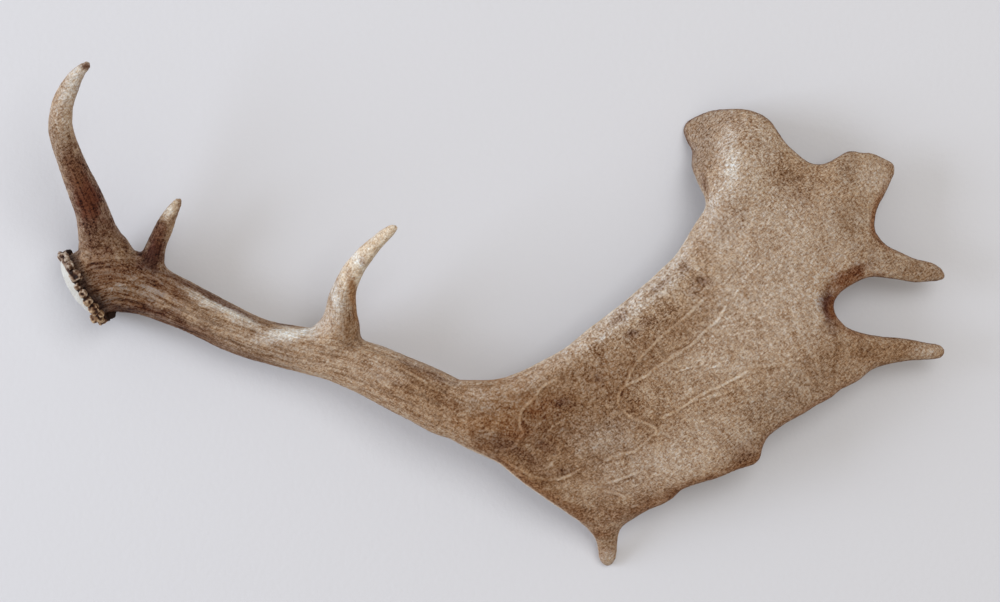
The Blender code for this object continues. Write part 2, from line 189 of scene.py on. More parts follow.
def eased(values, edges, steps):
    """The values, smoothed once for each step: the share of the way that a vertex goes to its neighbours."""
    count = len(values)
    here, there = edges.T
    neighbours = np.bincount(edges.ravel(), minlength=count)
    values = values.reshape(count, -1).copy()
    for step in steps:
        for column in range(values.shape[1]):
            value = values[:, column]
            total = np.bincount(here, value[there], count) + np.bincount(there, value[here], count)
            values[:, column] = value + step * (total / neighbours - value)
    return values


places, normals, edges = read_mesh(antler.data)
smoothed = eased(places, edges, [STEP_IN, STEP_OUT] * FACET_ROUNDS)
write_places(antler.data, smoothed)
print("smoothed by up to, mm:", round(float(np.abs(smoothed - places).max()) / MM, 2))

# %% [markdown]
# At a real fork the bone of one limb flows into the next in a wide curve, without a crease. A fillet is
# hard to model there, because both limbs bend. But a fork is simply where the skin lies well below its
# smoothed surroundings, so it is filled up towards them, and everything flatter than that is left alone.

# %% Fill the forks
FILL_ROUNDS = 160
FILL_FROM = 0.4 * MM  # hollows shallower than this are shape, not a crease
FILL_SHARE = 0.9

places, normals, edges = read_mesh(antler.data)
around = eased(places, edges, [STEP_IN] * FILL_ROUNDS)
below = ((around - places) * normals).sum(axis=1)
filled = FILL_SHARE * np.maximum(below - FILL_FROM, 0)
write_places(antler.data, places + normals * filled[:, None])
print("forks filled by up to, mm:", round(float(filled.max()) / MM, 1))

# %% [markdown]
# The burr is the knobbly crown at the foot of the beam. It gets a finer skin of its own further down, so
# here the antler's skin is drawn in under it: cut off flat behind the burr, and held to a plain neck inside
# the pearls.

# %% Draw the skin in under the burr
BURR_TURN = math.radians(31)
BURR_TILT = math.radians(-7)
NECK_RADIUS = 24.0 * MM
BACK_OF_BURR = -2.0 * MM
NECK_LENGTH = 6.0 * MM
NECK_FLARE = 6.0 * MM  # over this length the neck is let out to the beam's own shape

burr_axes = (
    Matrix.Translation(burr_middle)
    @ Matrix.Rotation(BURR_TURN, 4, "Z")
    @ Matrix.Rotation(math.pi / 2 - BURR_TILT, 4, "Y")
)


def moved(places, matrix):
    """Every place, moved by the matrix."""
    matrix = np.array(matrix)
    return places @ matrix[:3, :3].T + matrix[:3, 3]


places, normals, edges = read_mesh(antler.data)
on_burr = moved(places, burr_axes.inverted())
near_burr = np.linalg.norm(on_burr, axis=1) < 2 * NECK_RADIUS
radius = np.hypot(on_burr[:, 0], on_burr[:, 1])
let_out = np.clip((on_burr[:, 2] - NECK_LENGTH) / NECK_FLARE, 0, 1)
drawn_in = np.minimum(radius, NECK_RADIUS + (radius - NECK_RADIUS) * let_out)
squeeze = np.where(near_burr & (let_out < 1), drawn_in / np.maximum(radius, MERGE), 1.0)
on_burr[:, :2] *= squeeze[:, None]
on_burr[:, 2] = np.where(near_burr, np.maximum(on_burr[:, 2], BACK_OF_BURR), on_burr[:, 2])
write_places(antler.data, moved(on_burr, burr_axes))
print("drawn in under the burr:", int((squeeze < 1).sum()), "vertices")

# %% [markdown]
# Bone fibres run along the beam and up into each tine, and fan out over the palm. A pattern on plain
# coordinates would run straight through the bends. So every vertex gets grain coordinates: how far along
# its own limb it is, and how far to the side, counted in half widths, so that a line of grain keeps its
# share of the width all the way.

# %% Lay the grain coordinates
# Middle lines in mm from the middle of the burr: x, y, z, half the width
BEAM_AND_PALM = [
    (-12, -7, 29, 24),
    (0, 0, 29, 23.5),
    (24, 6, 28, 22),
    (48, -2, 26, 18.5),
    (94, -24, 24, 15.5),
    (143, -41, 28, 15),
    (188, -52, 34, 17.5),
    (233, -72, 41, 21),
    (270, -88, 45, 25),
    (330, -97, 45, 54),
    (375, -80, 45, 77),
    (420, -45, 46, 88),
    (470, 0, 44, 100),
    (520, 10, 42, 80),
    (600, -5, 30, 52),
]
BROW_TINE = [
    (20, 6, 28, 21),
    (15.5, 25, 35, 19),
    (10.5, 50, 51, 11.5),
    (-1, 86, 74, 9),
    (-3.5, 122, 91, 7),
    (16, 149, 100, 2),
]
SECOND_TINE = [(45, 10, 29, 11), (52.5, 31, 36, 7), (61.5, 49, 42, 5), (69.5, 61, 45, 2)]
TREZ_TINE = [(170, -44, 30, 15), (178, -27, 38, 14), (182, -2, 54, 8.5), (198, 23, 73, 5.7), (221, 42, 88, 2)]
GRAIN_WIDTH = 20 * MM  # side and rise of the grain coordinates, for a limb of this half width
TINE_STARTS = 0.10  # share of a tine's length at its foot that still carries the beam's grain
TINE_BLEND = 0.2
TINE_REACH = (1.8, 2.6)  # half widths from a tine's middle line where the vertices stop being its own
BETWEEN = 14


def smooth_run(points, between=BETWEEN):
    """Points along a smooth curve through the given ones, whatever numbers they carry."""
    known = np.array(points, float)
    padded = np.vstack([2 * known[0] - known[1], known, 2 * known[-1] - known[-2]])
    run = []
    for before, here, there, after in zip(padded, padded[1:], padded[2:], padded[3:]):
        for step in range(between):
            t = step / between
            bend = 2 * before - 5 * here + 4 * there - after
            swing = 3 * here - before - 3 * there + after
            run.append(here + t * ((there - before) + t * (bend + t * swing)) / 2)
    run.append(known[-1])
    return np.array(run)


def along_limb(places, normals, limb):
    """Each place's way along the limb, side in half widths, rise and reach, and then the limb's length."""
    run = smooth_run(limb) * MM
    middles = run[:, :3] + np.array(burr_middle) - np.array((0, 0, BURR_IN_BOX.z))
    nearest = np.zeros(len(places), int)
    best = np.full(len(places), np.inf)
    for number, middle in enumerate(middles):
        apart = ((places - middle) ** 2).sum(axis=1)
        closer = apart < best
        nearest[closer] = number
        best[closer] = apart[closer]
    ahead = np.gradient(middles, axis=0)
    ahead /= np.linalg.norm(ahead, axis=1)[:, None]
    across = np.cross((0, 0, 1), ahead)
    across /= np.linalg.norm(across, axis=1)[:, None]
    upward = np.cross(ahead, across)
    steps = np.linalg.norm(np.diff(middles, axis=0), axis=1)
    lengths = np.concatenate([[0], np.cumsum(steps)])
    offset = places - middles[nearest]
    travelled = lengths[nearest] + (offset * ahead[nearest]).sum(axis=1)
    half_width = np.interp(travelled, lengths, run[:, 3])
    side = (offset * across[nearest]).sum(axis=1) / half_width
    rise = (normals * upward[nearest]).sum(axis=1)
    return travelled, side, rise, np.sqrt(best) / half_width, lengths[-1]


def ramp(values, start, end):
    """0 at start, 1 at end, smooth between."""
    share = np.clip((values - start) / (end - start), 0, 1)
    return share * share * (3 - 2 * share)


places, normals, edges = read_mesh(antler.data)
travelled, side, rise, _, _ = along_limb(places, normals, BEAM_AND_PALM)
beam_grain = np.column_stack([travelled, side * GRAIN_WIDTH, rise * GRAIN_WIDTH])
way_along = travelled
tine_grain = beam_grain.copy()
on_tine = np.zeros(len(places))
tine_share = np.zeros(len(places))
for limb in (BROW_TINE, SECOND_TINE, TREZ_TINE):
    travelled, side, rise, reach, length = along_limb(places, normals, limb)
    share = travelled / length
    inside = ramp(share, TINE_STARTS, TINE_STARTS + TINE_BLEND) * (1 - ramp(reach, *TINE_REACH))
    mine = inside > on_tine
    tine_grain[mine] = np.column_stack([travelled, side * GRAIN_WIDTH, rise * GRAIN_WIDTH])[mine]
    on_tine = np.maximum(on_tine, inside)
    tine_share = np.where(mine, share, tine_share)
print("vertices on tines:", int((on_tine > 0.5).sum()))

# %% [markdown]
# In velvet the antler was fed by vessels that lay on the bone, and each left its bed: pale lines that
# branch over the palm, the main ones broad and the others fine. Some short dark grooves lie among them.
# They could be drawn in an image. Here they are smooth lines through a few points read off the photograph,
# and every vertex knows its distance from the nearest one, which gives crisp lines in the finish and a low
# relief.

# %% Measure the distance to the vessel lines
VESSELS_PX = [
    [
        (733, 299), (728, 303), (722, 313), (716, 322), (708, 328), (692, 344), (682, 351), (669, 359.5),
        (657, 367), (648, 375), (636, 381), (625, 386), (619, 394), (618, 403), (622, 409.5), (629, 415.5),
        (637, 420), (647, 423.5), (655, 428), (656, 433), (651, 437), (646, 442), (640, 446.5), (635, 451.5),
        (627, 453), (614, 456.5), (604, 461), (595, 460),
    ],
    [
        (712, 291), (693, 310), (673, 327), (663, 335), (650, 348), (640, 358), (632, 370), (625, 386),
        (622, 392),
    ],
    [
        (651, 424), (655, 421), (668, 415), (680, 408.5), (692, 401), (699, 396), (708, 391.5), (723, 385),
        (731, 380.5), (741, 375.5), (748, 371), (758, 368),
    ],
    [
        (488, 449), (500, 450), (510, 448.5), (515, 445), (520, 437.5), (523, 432), (520, 426), (520, 416),
        (523, 409), (534, 398), (541, 388), (548, 383), (558, 378), (567, 371),
    ],
    [
        (500, 459), (512, 465), (525, 472), (535, 477), (548, 479.5), (560, 479), (572, 474), (580, 469),
        (588, 466),
    ],
    [(598, 486), (607, 483), (618, 480), (628, 476), (640, 471.5), (652, 468)],
    [(598, 489), (608, 491.5), (620, 495), (631, 503)],
    [(80, 265), (91, 261.5), (105, 259), (125, 258), (134, 262)],
    [(83, 272), (94, 271), (108, 269), (122, 268), (136, 270)],
    [(89.5, 291), (98, 288), (108, 286), (127, 285), (142, 288)],
    [(92, 281), (110, 281), (126, 280), (138, 277), (148, 275), (156, 279), (168, 287)],
    [(97, 290), (115, 288.5), (130, 290), (142, 294), (156, 299), (172, 305)],
    [(98, 297.5), (115, 296.5), (130, 298), (144, 302), (160, 308)],
    [(104, 303), (120, 302), (136, 305), (150, 310)],
    [(400, 367), (412, 374), (422, 380), (434, 386)],
]
FINE_VESSELS_PX = [
    [(767, 256), (758, 265), (750, 273), (741, 284), (733, 299), (727, 305)],
    [(759, 243), (750, 252), (743, 261), (727, 279), (710, 293), (704, 299)],
    [(574, 462), (580, 469)],
    [(612, 472), (628, 467.5), (646, 463)],
    [(536, 434), (546, 431.5), (552, 426.5), (560, 422), (566, 415), (569, 407), (575, 401), (585, 397)],
    [(546, 435), (554, 430), (563, 424), (569, 417), (574, 407), (583, 402)],
    [(553, 403), (557, 409), (562, 412), (566, 409)],
    [(545, 433), (552, 438), (564, 441)],
    [(530, 430), (537, 426), (545, 419)],
    [(473, 398), (488, 398.5), (502, 399)],
    [(486, 421), (500, 424), (514, 431)],
    [(470, 432), (481, 431), (490, 428), (498, 437)],
    [(506, 393), (520, 391.5), (536, 385)],
    [(598, 343), (611, 332), (628, 318)],
    [(620, 350), (632, 344), (640, 338), (648, 325)],
    [(608, 363), (624, 352), (636, 346)],
    [(712, 325), (720, 327.5), (728, 325.5), (738, 324), (752, 319)],
    [(714, 323), (724, 320), (732, 315), (740, 310), (748, 301)],
    [(698, 338), (714, 336), (733, 335), (745, 331.5), (764, 328)],
    [(750, 321), (765, 316), (774, 311), (785, 302)],
    [(688, 404), (703, 398.5), (712, 396), (722, 394), (730, 391), (742, 386)],
    [(738, 392), (752, 384), (768, 378)],
    [(752, 370), (775, 364), (792, 360), (812, 355)],
    [(668, 375), (685, 369), (697, 366), (712, 360)],
    [(694, 374), (716, 366), (736, 356)],
    [(684, 427), (706, 420), (728, 410)],
    [(718, 172), (713, 188), (706, 203)],
    [(727, 172), (721, 194)],
    [(745, 145), (746, 165), (749, 182)],
    [(788, 200), (797, 212), (805, 224)],
]
GROOVES_PX = [
    [(452, 384), (468, 386.5), (486, 386), (502, 385)],
    [(502, 397), (514, 396.5), (524, 394), (538, 389)],
    [(512, 443), (522, 442), (532, 443.5), (549, 451)],
    [(658, 358), (668, 353), (676, 350), (690, 342)],
    [(703, 396), (710, 392.5), (718, 389.5)],
    [(708, 400), (722, 397), (735, 391.5)],
    [(764, 373), (773, 369.5), (784, 366)],
    [(623, 399), (628, 406), (638, 413), (646, 418)],
    [(598, 403), (608, 396), (617, 389)],
    [(652, 333), (662, 324), (672, 317)],
    [(460, 414), (476, 416), (492, 413), (506, 415)],
    [(820, 376), (829, 374), (838, 369)],
]
FACING_UP = (0.0, 0.3)  # upward part of the normal: only the upper side shows the lines
LINE_STEPS = 4
FAR_FROM_VESSELS = 12.0
TAPER_PX = 14.0  # a line fades out over this length at each end, or over a quarter of itself
TAPER = 2.6  # px that its very end seems further away


def distance_to_lines(points, lines):
    """How far each point lies from the nearest of the lines, in the points' unit, with the ends faded."""
    nearest = np.full(len(points), FAR_FROM_VESSELS)
    for line in lines:
        run = smooth_run(line, LINE_STEPS)
        lengths = np.concatenate([[0], np.cumsum(np.hypot(*np.diff(run, axis=0).T))])
        for start, end, before, after in zip(run, run[1:], lengths, lengths[1:]):
            along = end - start
            share = np.clip((points - start) @ along / (along @ along), 0, 1)
            offset = points - (start + share[:, None] * along)
            from_end = before + share * (after - before)
            from_end = np.minimum(from_end, lengths[-1] - from_end)
            faded = TAPER * (1 - ramp(from_end, 0, min(TAPER_PX, lengths[-1] / 4)))
            nearest = np.minimum(nearest, np.hypot(offset[:, 0], offset[:, 1]) + faded)
    return nearest


seen_at = in_photo(places)
top_side = ramp(normals[:, 2], *FACING_UP)
vessel_far = distance_to_lines(seen_at, VESSELS_PX)
fine_vessel_far = distance_to_lines(seen_at, FINE_VESSELS_PX)
groove_far = distance_to_lines(seen_at, GROOVES_PX)
print("vertices under 2 px from a vessel line:", int((np.minimum(vessel_far, fine_vessel_far) < 2).sum()))

# %% [markdown]
# The beam is fluted: lengthwise ridges start between the pearls of the burr and die out towards the palm.
# They could be bump alone, but then the outline and the edge of each shadow would stay smooth. So the skin
# itself is moved, by noise stretched along the grain, together with the slow swells of the palm and the low
# relief of the vessel beds.

# %% Raise flutes, swells and vessel beds
FLUTE_DEPTH = 0.55 * MM
FLUTE_SPACING = 3.6 * MM
FLUTE_STRETCH = 14.0
FLUTED_WAY = (0.01, 0.05, 0.16, 0.27, 0.32)  # metres along the beam, and how fluted it is there
FLUTED = (0.6, 1.0, 0.6, 0.35, 0.08)
TINE_FLUTES = 0.7
SWELL_DEPTH = 0.5 * MM
SWELL_SIZE = 17.0 * MM
PORE_DEPTH = 0.12 * MM
PORE_SIZE = 3.4 * MM
VESSEL_RIDGE = 0.12 * MM
VESSEL_WIDTH_PX = 1.5
FINE_RIDGE = 0.5  # height of a fine vessel's bed, as a share of a main one's


def noise_at(places, size, shift=0.0):
    """Smooth noise at each place, from -1 to 1, with lumps of that size. Each shift gives another pattern."""
    return np.array([noise.noise(Vector(place)) for place in places / size + shift])


def stretched(grain, spacing, stretch):
    """Grain coordinates, counted in spacings to the side and in longer steps along the limb."""
    return grain / np.array((spacing * stretch, spacing, spacing))


flutes = noise_at(stretched(beam_grain, FLUTE_SPACING, FLUTE_STRETCH), 1.0)
tine_flutes = noise_at(stretched(tine_grain, FLUTE_SPACING, FLUTE_STRETCH), 1.0, 40.0)
flutes += on_tine * (TINE_FLUTES * tine_flutes - flutes)
fluted = np.interp(way_along, FLUTED_WAY, FLUTED)
swells = noise_at(places, SWELL_SIZE, 7.0)
pores = noise_at(places, PORE_SIZE, 3.0)
beds = np.exp(-((vessel_far / VESSEL_WIDTH_PX) ** 2))
beds += FINE_RIDGE * np.exp(-((fine_vessel_far / VESSEL_WIDTH_PX) ** 2))
lift = flutes * fluted * FLUTE_DEPTH + swells * SWELL_DEPTH + pores * PORE_DEPTH
lift += beds * top_side * VESSEL_RIDGE
places += normals * lift[:, None]
places[:, 2] = np.maximum(places[:, 2], 0.0)
write_places(antler.data, places)
print("skin moved, mm:", round(float(lift.min()) / MM, 2), "to", round(float(lift.max()) / MM, 2))

# %% [markdown]
# Where a vertex lies below its smoothed surroundings it is in a hollow, where it lies above them it is on a
# ridge. That one number is kept for each vertex, and later the colour is darkened in the hollows.

# %% Find the hollows and ridges
HOLLOW_ROUNDS = 10


def hollows_of(mesh, rounds):
    """How deep each vertex lies below its smoothed surroundings, in mm."""
    places, normals, edges = read_mesh(mesh)
    around = eased(places, edges, [STEP_IN] * rounds)
    return ((around - places) * normals).sum(axis=1) / MM


hollows = hollows_of(antler.data, HOLLOW_ROUNDS)
print("hollows, mm:", round(float(hollows.min()), 2), "to", round(float(hollows.max()), 2))

# %% [markdown]
# Weather and peat have stained the bone: dark red-brown by the burr, tan on the palm, cream where the tips
# were rubbed clean. A painter would lay a middle tone and then glaze patches over it. The same is done here:
# a short list of stains, each with a finish, a place, a reach and a turn, laid over one another with ragged
# edges. A few of the patches are painted light: highlight and shade along the edges of the beam and down the
# sides of the brow and trez tines. Last, painted shade darkens the skin beside the burr.

# %% Paint the stains


def linear(hex_colour):
    """An sRGB hex colour as linear red, green and blue."""
    shares = [int(hex_colour[start : start + 2], 16) / 255 for start in (1, 3, 5)]
    return tuple(s / 12.92 if s <= 0.04045 else ((s + 0.055) / 1.055) ** 2.4 for s in shares)


FINISHES = {
    "soil": linear("#2a170e"),
    "peat": linear("#4c2415"),
    "umber": linear("#5d3b27"),
    "rust": linear("#75451f"),
    "bark": linear("#6d4c34"),
    "tan": linear("#846447"),
    "clay": linear("#8c745e"),
    "amber": linear("#96693f"),
    "oat": linear("#a2886e"),
    "sand": linear("#b09b86"),
    "ash": linear("#c2b6a8"),
    "cream": linear("#d2c0a8"),
    "chalk": linear("#dcd8ce"),
}
MIDDLE_TONE = "oat"
# Finish, middle in px, reach along and across in px, turn in degrees, strength
STAINS_AND_PAINTED_LIGHT = [
    # Beam
    ("bark", (112, 285), (75, 52), 0, 0.95),
    ("clay", (138, 288), (42, 15), 8, 0.6),
    ("clay", (198, 302), (44, 22), -26, 0.4),
    ("bark", (172, 289), (26, 13), -27, 0.85),
    ("clay", (208, 318), (26, 8), -27, 0.9),
    # The next three darken the lower edge of the beam: stain, and painted shade where the beam turns away
    # from the light
    ("umber", (128, 311), (60, 8), -4, 0.8),
    ("umber", (200, 338), (76, 12), -26, 0.9),
    ("bark", (235, 350), (60, 8), -20, 0.8),
    ("clay", (262, 334), (40, 16), -14, 0.6),
    ("clay", (270, 352), (60, 10), -12, 0.8),
    # Painted light along the top of the beam: pale patches of painted highlight, and thin dark lines of
    # painted shade at its very edge
    ("ash", (222, 308), (46, 7), -27, 1.0),
    ("chalk", (228, 310), (30, 4), -27, 0.5),
    ("umber", (212, 297), (60, 4), -27, 0.9),
    ("umber", (290, 324), (24, 2), -4, 0.8),
    ("ash", (282, 335), (32, 8), 2, 0.8),
    ("chalk", (294, 333), (28, 6), 4, 0.7),
    ("chalk", (318, 323), (16, 5), 40, 0.8),
    ("clay", (295, 348), (40, 5), -5, 0.6),
    ("clay", (350, 362), (44, 16), -25, 0.35),
    ("tan", (420, 392), (56, 30), -27, 0.8),
    ("tan", (470, 418), (50, 32), -24, 0.25),
    ("sand", (384, 370), (26, 10), -27, 0.6),
    ("sand", (408, 361), (46, 4), -24, 0.9),
    ("sand", (452, 381), (26, 4), -8, 0.8),
    ("bark", (428, 373), (40, 5), -24, 0.7),
    ("sand", (482, 394), (22, 7), 0, 0.6),
    # Foot of the palm
    ("tan", (575, 425), (110, 72), -5, 1.0),
    ("amber", (486, 423), (34, 12), 8, 0.35),
    ("bark", (528, 432), (44, 20), 14, 0.35),
    ("rust", (519, 432), (18, 10), 0, 0.55),
    ("amber", (522, 412), (26, 20), 14, 0.15),
    ("clay", (470, 404), (24, 8), -14, 0.6),
    ("umber", (503, 450), (34, 12), -30, 0.9),
    ("bark", (530, 466), (28, 14), -32, 0.8),
    ("peat", (563, 402), (9, 5), 10, 0.6),
    ("peat", (545, 446), (14, 5), -30, 0.4),
    ("rust", (541, 407), (18, 11), 10, 0.35),
    ("peat", (598, 379), (6, 8), 20, 0.5),
    ("umber", (566, 471), (12, 5), 10, 0.5),
    ("clay", (604, 440), (40, 28), 5, 0.8),
    ("sand", (604, 442), (36, 22), 5, 0.3),
    # Front of the palm
    ("tan", (655, 345), (120, 26), 40, 0.55),
    ("sand", (600, 328), (130, 13), 36, 0.6),
    ("sand", (680, 262), (60, 14), 50, 0.9),
    ("ash", (640, 306), (70, 6), 38, 0.5),
    ("bark", (703, 281), (11, 7), 0, 0.8),
    ("umber", (704, 280), (6, 5), 0, 0.5),
    ("bark", (683, 267), (6, 9), 0, 0.5),
    ("bark", (662, 284), (16, 5), 38, 0.5),
    ("bark", (618, 319), (14, 5), 38, 0.6),
    ("bark", (648, 321), (10, 6), 20, 0.6),
    ("umber", (634, 333), (9, 5), 15, 0.7),
    ("bark", (692, 292), (8, 5), 0, 0.6),
    # Middle of the palm
    ("clay", (755, 420), (70, 42), 35, 0.3),
    ("sand", (700, 440), (60, 26), 25, 0.4),
    ("sand", (655, 470), (60, 22), 12, 0.8),
    ("sand", (720, 355), (60, 26), 30, 0.6),
    ("sand", (785, 290), (90, 76), 40, 1.0),
    ("sand", (772, 240), (40, 30), 30, 0.5),
    ("sand", (775, 225), (66, 40), 20, 0.9),
    ("clay", (795, 402), (80, 30), 38, 0.6),
    ("tan", (832, 356), (30, 46), 0, 0.5),
    # Bay between the spellers
    ("peat", (829, 306), (9, 24), 5, 0.95),
    ("peat", (852, 274), (26, 7), 24, 0.6),
    ("rust", (846, 278), (26, 9), 30, 0.7),
    # Rear edge of the palm
    ("bark", (747, 458), (26, 18), 20, 0.8),
    ("umber", (745, 462), (14, 6), 20, 0.45),
    ("tan", (700, 486), (90, 12), 22, 0.6),
    ("bark", (640, 508), (40, 12), 28, 0.4),
    ("bark", (672, 494), (10, 6), 20, 0.6),
    ("umber", (708, 478), (6, 4), 20, 0.35),
    # Top lobe
    ("clay", (702, 142), (18, 46), -6, 0.9),
    ("ash", (762, 142), (16, 30), 28, 0.25),
    ("tan", (788, 180), (46, 20), -40, 0.4),
    ("bark", (797, 190), (22, 9), -40, 0.2),
    ("clay", (765, 112), (30, 9), -28, 0.6),
    ("sand", (734, 200), (30, 60), -18, 0.7),
    ("ash", (731, 160), (13, 50), -3, 0.55),
    ("chalk", (731, 164), (6, 22), -3, 0.35),
    ("ash", (714, 202), (7, 26), -22, 0.75),
    ("clay", (722, 118), (20, 8), 0, 0.6),
    ("clay", (728, 224), (16, 30), -30, 0.5),
    ("umber", (704, 184), (4, 13), 8, 0.7),
    # Rear lobe and spellers
    ("clay", (848, 170), (12, 20), 0, 0.8),
    ("sand", (874, 178), (17, 20), 0, 0.9),
    ("clay", (850, 222), (24, 30), 0, 0.5),
    ("bark", (876, 238), (7, 24), -10, 0.5),
    ("tan", (884, 352), (60, 15), 0, 0.9),
    ("sand", (926, 352), (16, 8), 0, 0.6),
    ("clay", (898, 264), (54, 14), -12, 0.6),
    ("bark", (936, 272), (9, 8), 0, 0.25),
    # Guard tine
    ("oat", (608, 530), (12, 30), 0, 0.9),
    ("tan", (540, 487), (80, 15), -38, 0.9),
    ("sand", (608, 557), (8, 9), 0, 0.9),
    # Brow tine
    ("peat", (88, 198), (24, 46), 14, 1.0),
    ("umber", (70, 160), (15, 30), 14, 0.9),
    ("rust", (70, 164), (10, 26), 14, 0.1),
    ("rust", (84, 202), (12, 24), 14, 0.12),
    ("umber", (100, 238), (20, 22), 10, 0.6),
    # Painted shade: a dark stripe down the brow tine's shaded right side
    ("umber", (117, 232), (7, 24), 24, 0.7),
    ("clay", (58, 128), (14, 30), 5, 0.8),
    ("sand", (63, 110), (14, 24), -10, 0.8),
    ("clay", (57, 160), (4, 34), 10, 0.7),
    ("ash", (75, 82), (12, 24), -28, 0.7),
    ("chalk", (72, 80), (5, 20), -28, 0.4),
    ("umber", (86, 66), (5, 4), 0, 0.9),
    ("bark", (83, 86), (4, 14), -28, 0.6),
    # Second tine
    ("peat", (153, 250), (14, 26), -20, 1.0),
    ("soil", (152, 258), (9, 14), -20, 0.5),
    ("umber", (161, 230), (10, 14), -20, 0.9),
    ("bark", (175, 212), (4, 16), -20, 0.8),
    ("cream", (171, 208), (7, 12), -22, 0.7),
    ("chalk", (168, 212), (4, 9), -22, 0.4),
    # Trez tine
    ("sand", (344, 300), (15, 50), 14, 0.9),
    ("sand", (325, 318), (18, 16), 20, 0.9),
    ("tan", (352, 326), (15, 22), 0, 0.9),
    ("cream", (350, 272), (16, 34), 30, 1.0),
    ("cream", (372, 248), (30, 20), 50, 1.0),
    ("cream", (388, 233), (16, 14), 52, 1.0),
    # Painted light down the trez tine: darker stripes of painted shade on its right side, and paler stripes
    # of painted highlight on its left
    ("tan", (354, 296), (5, 26), 10, 0.8),
    ("tan", (369, 268), (4, 20), 34, 0.8),
    ("amber", (353, 296), (5, 26), 10, 0.7),
    ("chalk", (334, 292), (6, 34), 12, 0.5),
    ("cream", (359, 256), (9, 24), 36, 1.0),
    ("chalk", (355, 256), (5, 22), 36, 0.6),
    ("rust", (362, 261), (4, 5), 0, 0.5),
]

# Middle in px, reach along and across in px, turn in degrees, and how much more uneven the pattern is there
UNEVEN_SPOTS = [
    ((640, 310), (90, 26), 38, 0.45),
    ((755, 150), (90, 60), -30, 0.3),
    ((118, 288), (56, 38), 0, 0.35),
    ((640, 530), (60, 50), 0, 0.15),
    ((85, 200), (40, 70), 14, 0.2),
]
# The same for where dark curls lie among the fibres, and for where the stain sits in deeper, redder blotches
CURLED_SPOTS = [
    ((590, 410), (80, 44), 20, 1.0),
    ((640, 330), (90, 24), 38, 0.6),
    ((720, 380), (110, 60), 20, 0.3),
    ((500, 420), (50, 34), -20, 0.5),
]
BLOTCHY_SPOTS = [
    ((515, 415), (64, 38), -10, 0.7),
    ((125, 290), (80, 36), 10, 0.7),
    ((842, 290), (36, 34), 0, 0.7),
    ((600, 380), (60, 40), 20, 0.4),
]
RAGGED = 0.34
RAGGED_SIZE = 8.0 * MM
FINE_RAGGED = 0.7  # share of the finer raggedness, a third of the size
SOFT_EDGE = 0.75
BURR_SHADE = 0.92  # painted shade on the skin beside the pearls, darkest right next to them
BURR_SHADE_REACH = (2 * MM, 12 * MM)
BURR_SHADE_RAGGED = 6 * MM


def stain_share(points, ragged, middle, reach, turn):
    """How much of a stain each point gets, from 0 to 1."""
    turn = math.radians(turn)
    offset = points - np.array(middle)
    along = (offset[:, 0] * math.cos(turn) - offset[:, 1] * math.sin(turn)) / reach[0]
    across = (offset[:, 0] * math.sin(turn) + offset[:, 1] * math.cos(turn)) / reach[1]
    return 1 - ramp(np.hypot(along, across) + ragged, 1 - SOFT_EDGE, 1 + SOFT_EDGE / 2)


ragged = RAGGED * (noise_at(places, RAGGED_SIZE, 11.0) + FINE_RAGGED * noise_at(places, RAGGED_SIZE / 3, 5.0))
tone = np.tile(FINISHES[MIDDLE_TONE], (len(places), 1))
for finish, middle, reach, turn, strength in STAINS_AND_PAINTED_LIGHT:
    share = strength * stain_share(seen_at, ragged, middle, reach, turn)
    tone += share[:, None] * (np.array(FINISHES[finish]) - tone)
# Painted shade: the skin beside the pearls is darkened towards near black, most right next to the burr
by_burr = moved(places, burr_axes.inverted())
from_burr = by_burr[:, 2] + ragged * BURR_SHADE_RAGGED
shade_beside_burr = BURR_SHADE * (1 - ramp(from_burr, *BURR_SHADE_REACH)) * near_burr
tone += shade_beside_burr[:, None] * (np.array(FINISHES["soil"]) - tone)
print("stains:", len(STAINS_AND_PAINTED_LIGHT))

# %% [markdown]
# The rim of the palm is thin and greasy, so it took up more stain: an orange-brown band along the rear edge
# and round the bays. Along the front the rim is rounder and pale. A thin line at the very edge is tinted too,
# mostly as painted light: cream where the edge faces the light, along the front and the lower back, as a
# painted highlight, and dark brown where it faces away, along the spellers and lobes, as painted shade. The
# rim is where the skin turns from facing up to facing sideways. Its normal, smoothed a little, finds a thin
# line at the very edge, and smoothed more it finds a wider band.

# %% Tint the palm's rim
# Finish, middle in px, reach in px, strength
BAND_STAINS = [
    ("rust", (690, 490), 110, 0.4),
    ("rust", (540, 480), 80, 0.45),
    ("rust", (815, 395), 70, 0.45),
    ("rust", (838, 296), 50, 0.7),
    ("rust", (872, 214), 40, 0.8),
    ("ash", (640, 300), 90, 0.4),
    ("sand", (540, 368), 70, 0.2),
]
# The thin line at the very edge, mostly painted light: cream as painted highlight where the edge faces the
# light, bark and umber as painted shade where it faces away
LINE_STAINS_AND_LIGHT = [
    ("bark", (800, 150), 90, 0.8),
    ("bark", (900, 350), 70, 0.8),
    ("bark", (900, 265), 60, 0.8),
    ("umber", (882, 200), 50, 0.8),
    ("cream", (530, 470), 90, 0.8),
    ("amber", (485, 384), 34, 0.6),
    ("cream", (640, 300), 150, 0.7),
    ("umber", (692, 130), 50, 0.7),
]
# Smoothing rounds, then the normal's upward part where the tint starts and where it is full
BAND = (12, 0.97, 0.8)
LINE = (2, 0.6, 0.3)
PALM_STARTS = (0.27, 0.30)  # metres along the grain

on_palm = ramp(way_along, *PALM_STARTS)
for (rounds, starts, full), rim_stains_and_light in ((BAND, BAND_STAINS), (LINE, LINE_STAINS_AND_LIGHT)):
    flatness = eased(np.abs(normals[:, 2]), edges, [STEP_IN] * rounds)[:, 0]
    on_rim = ramp(flatness, starts, full) * on_palm
    for finish, middle, reach, strength in rim_stains_and_light:
        share = strength * on_rim * stain_share(seen_at, ragged, middle, (reach, reach), 0)
        tone += share[:, None] * (np.array(FINISHES[finish]) - tone)
    print("vertices on the rim:", int((on_rim > 0.5).sum()))

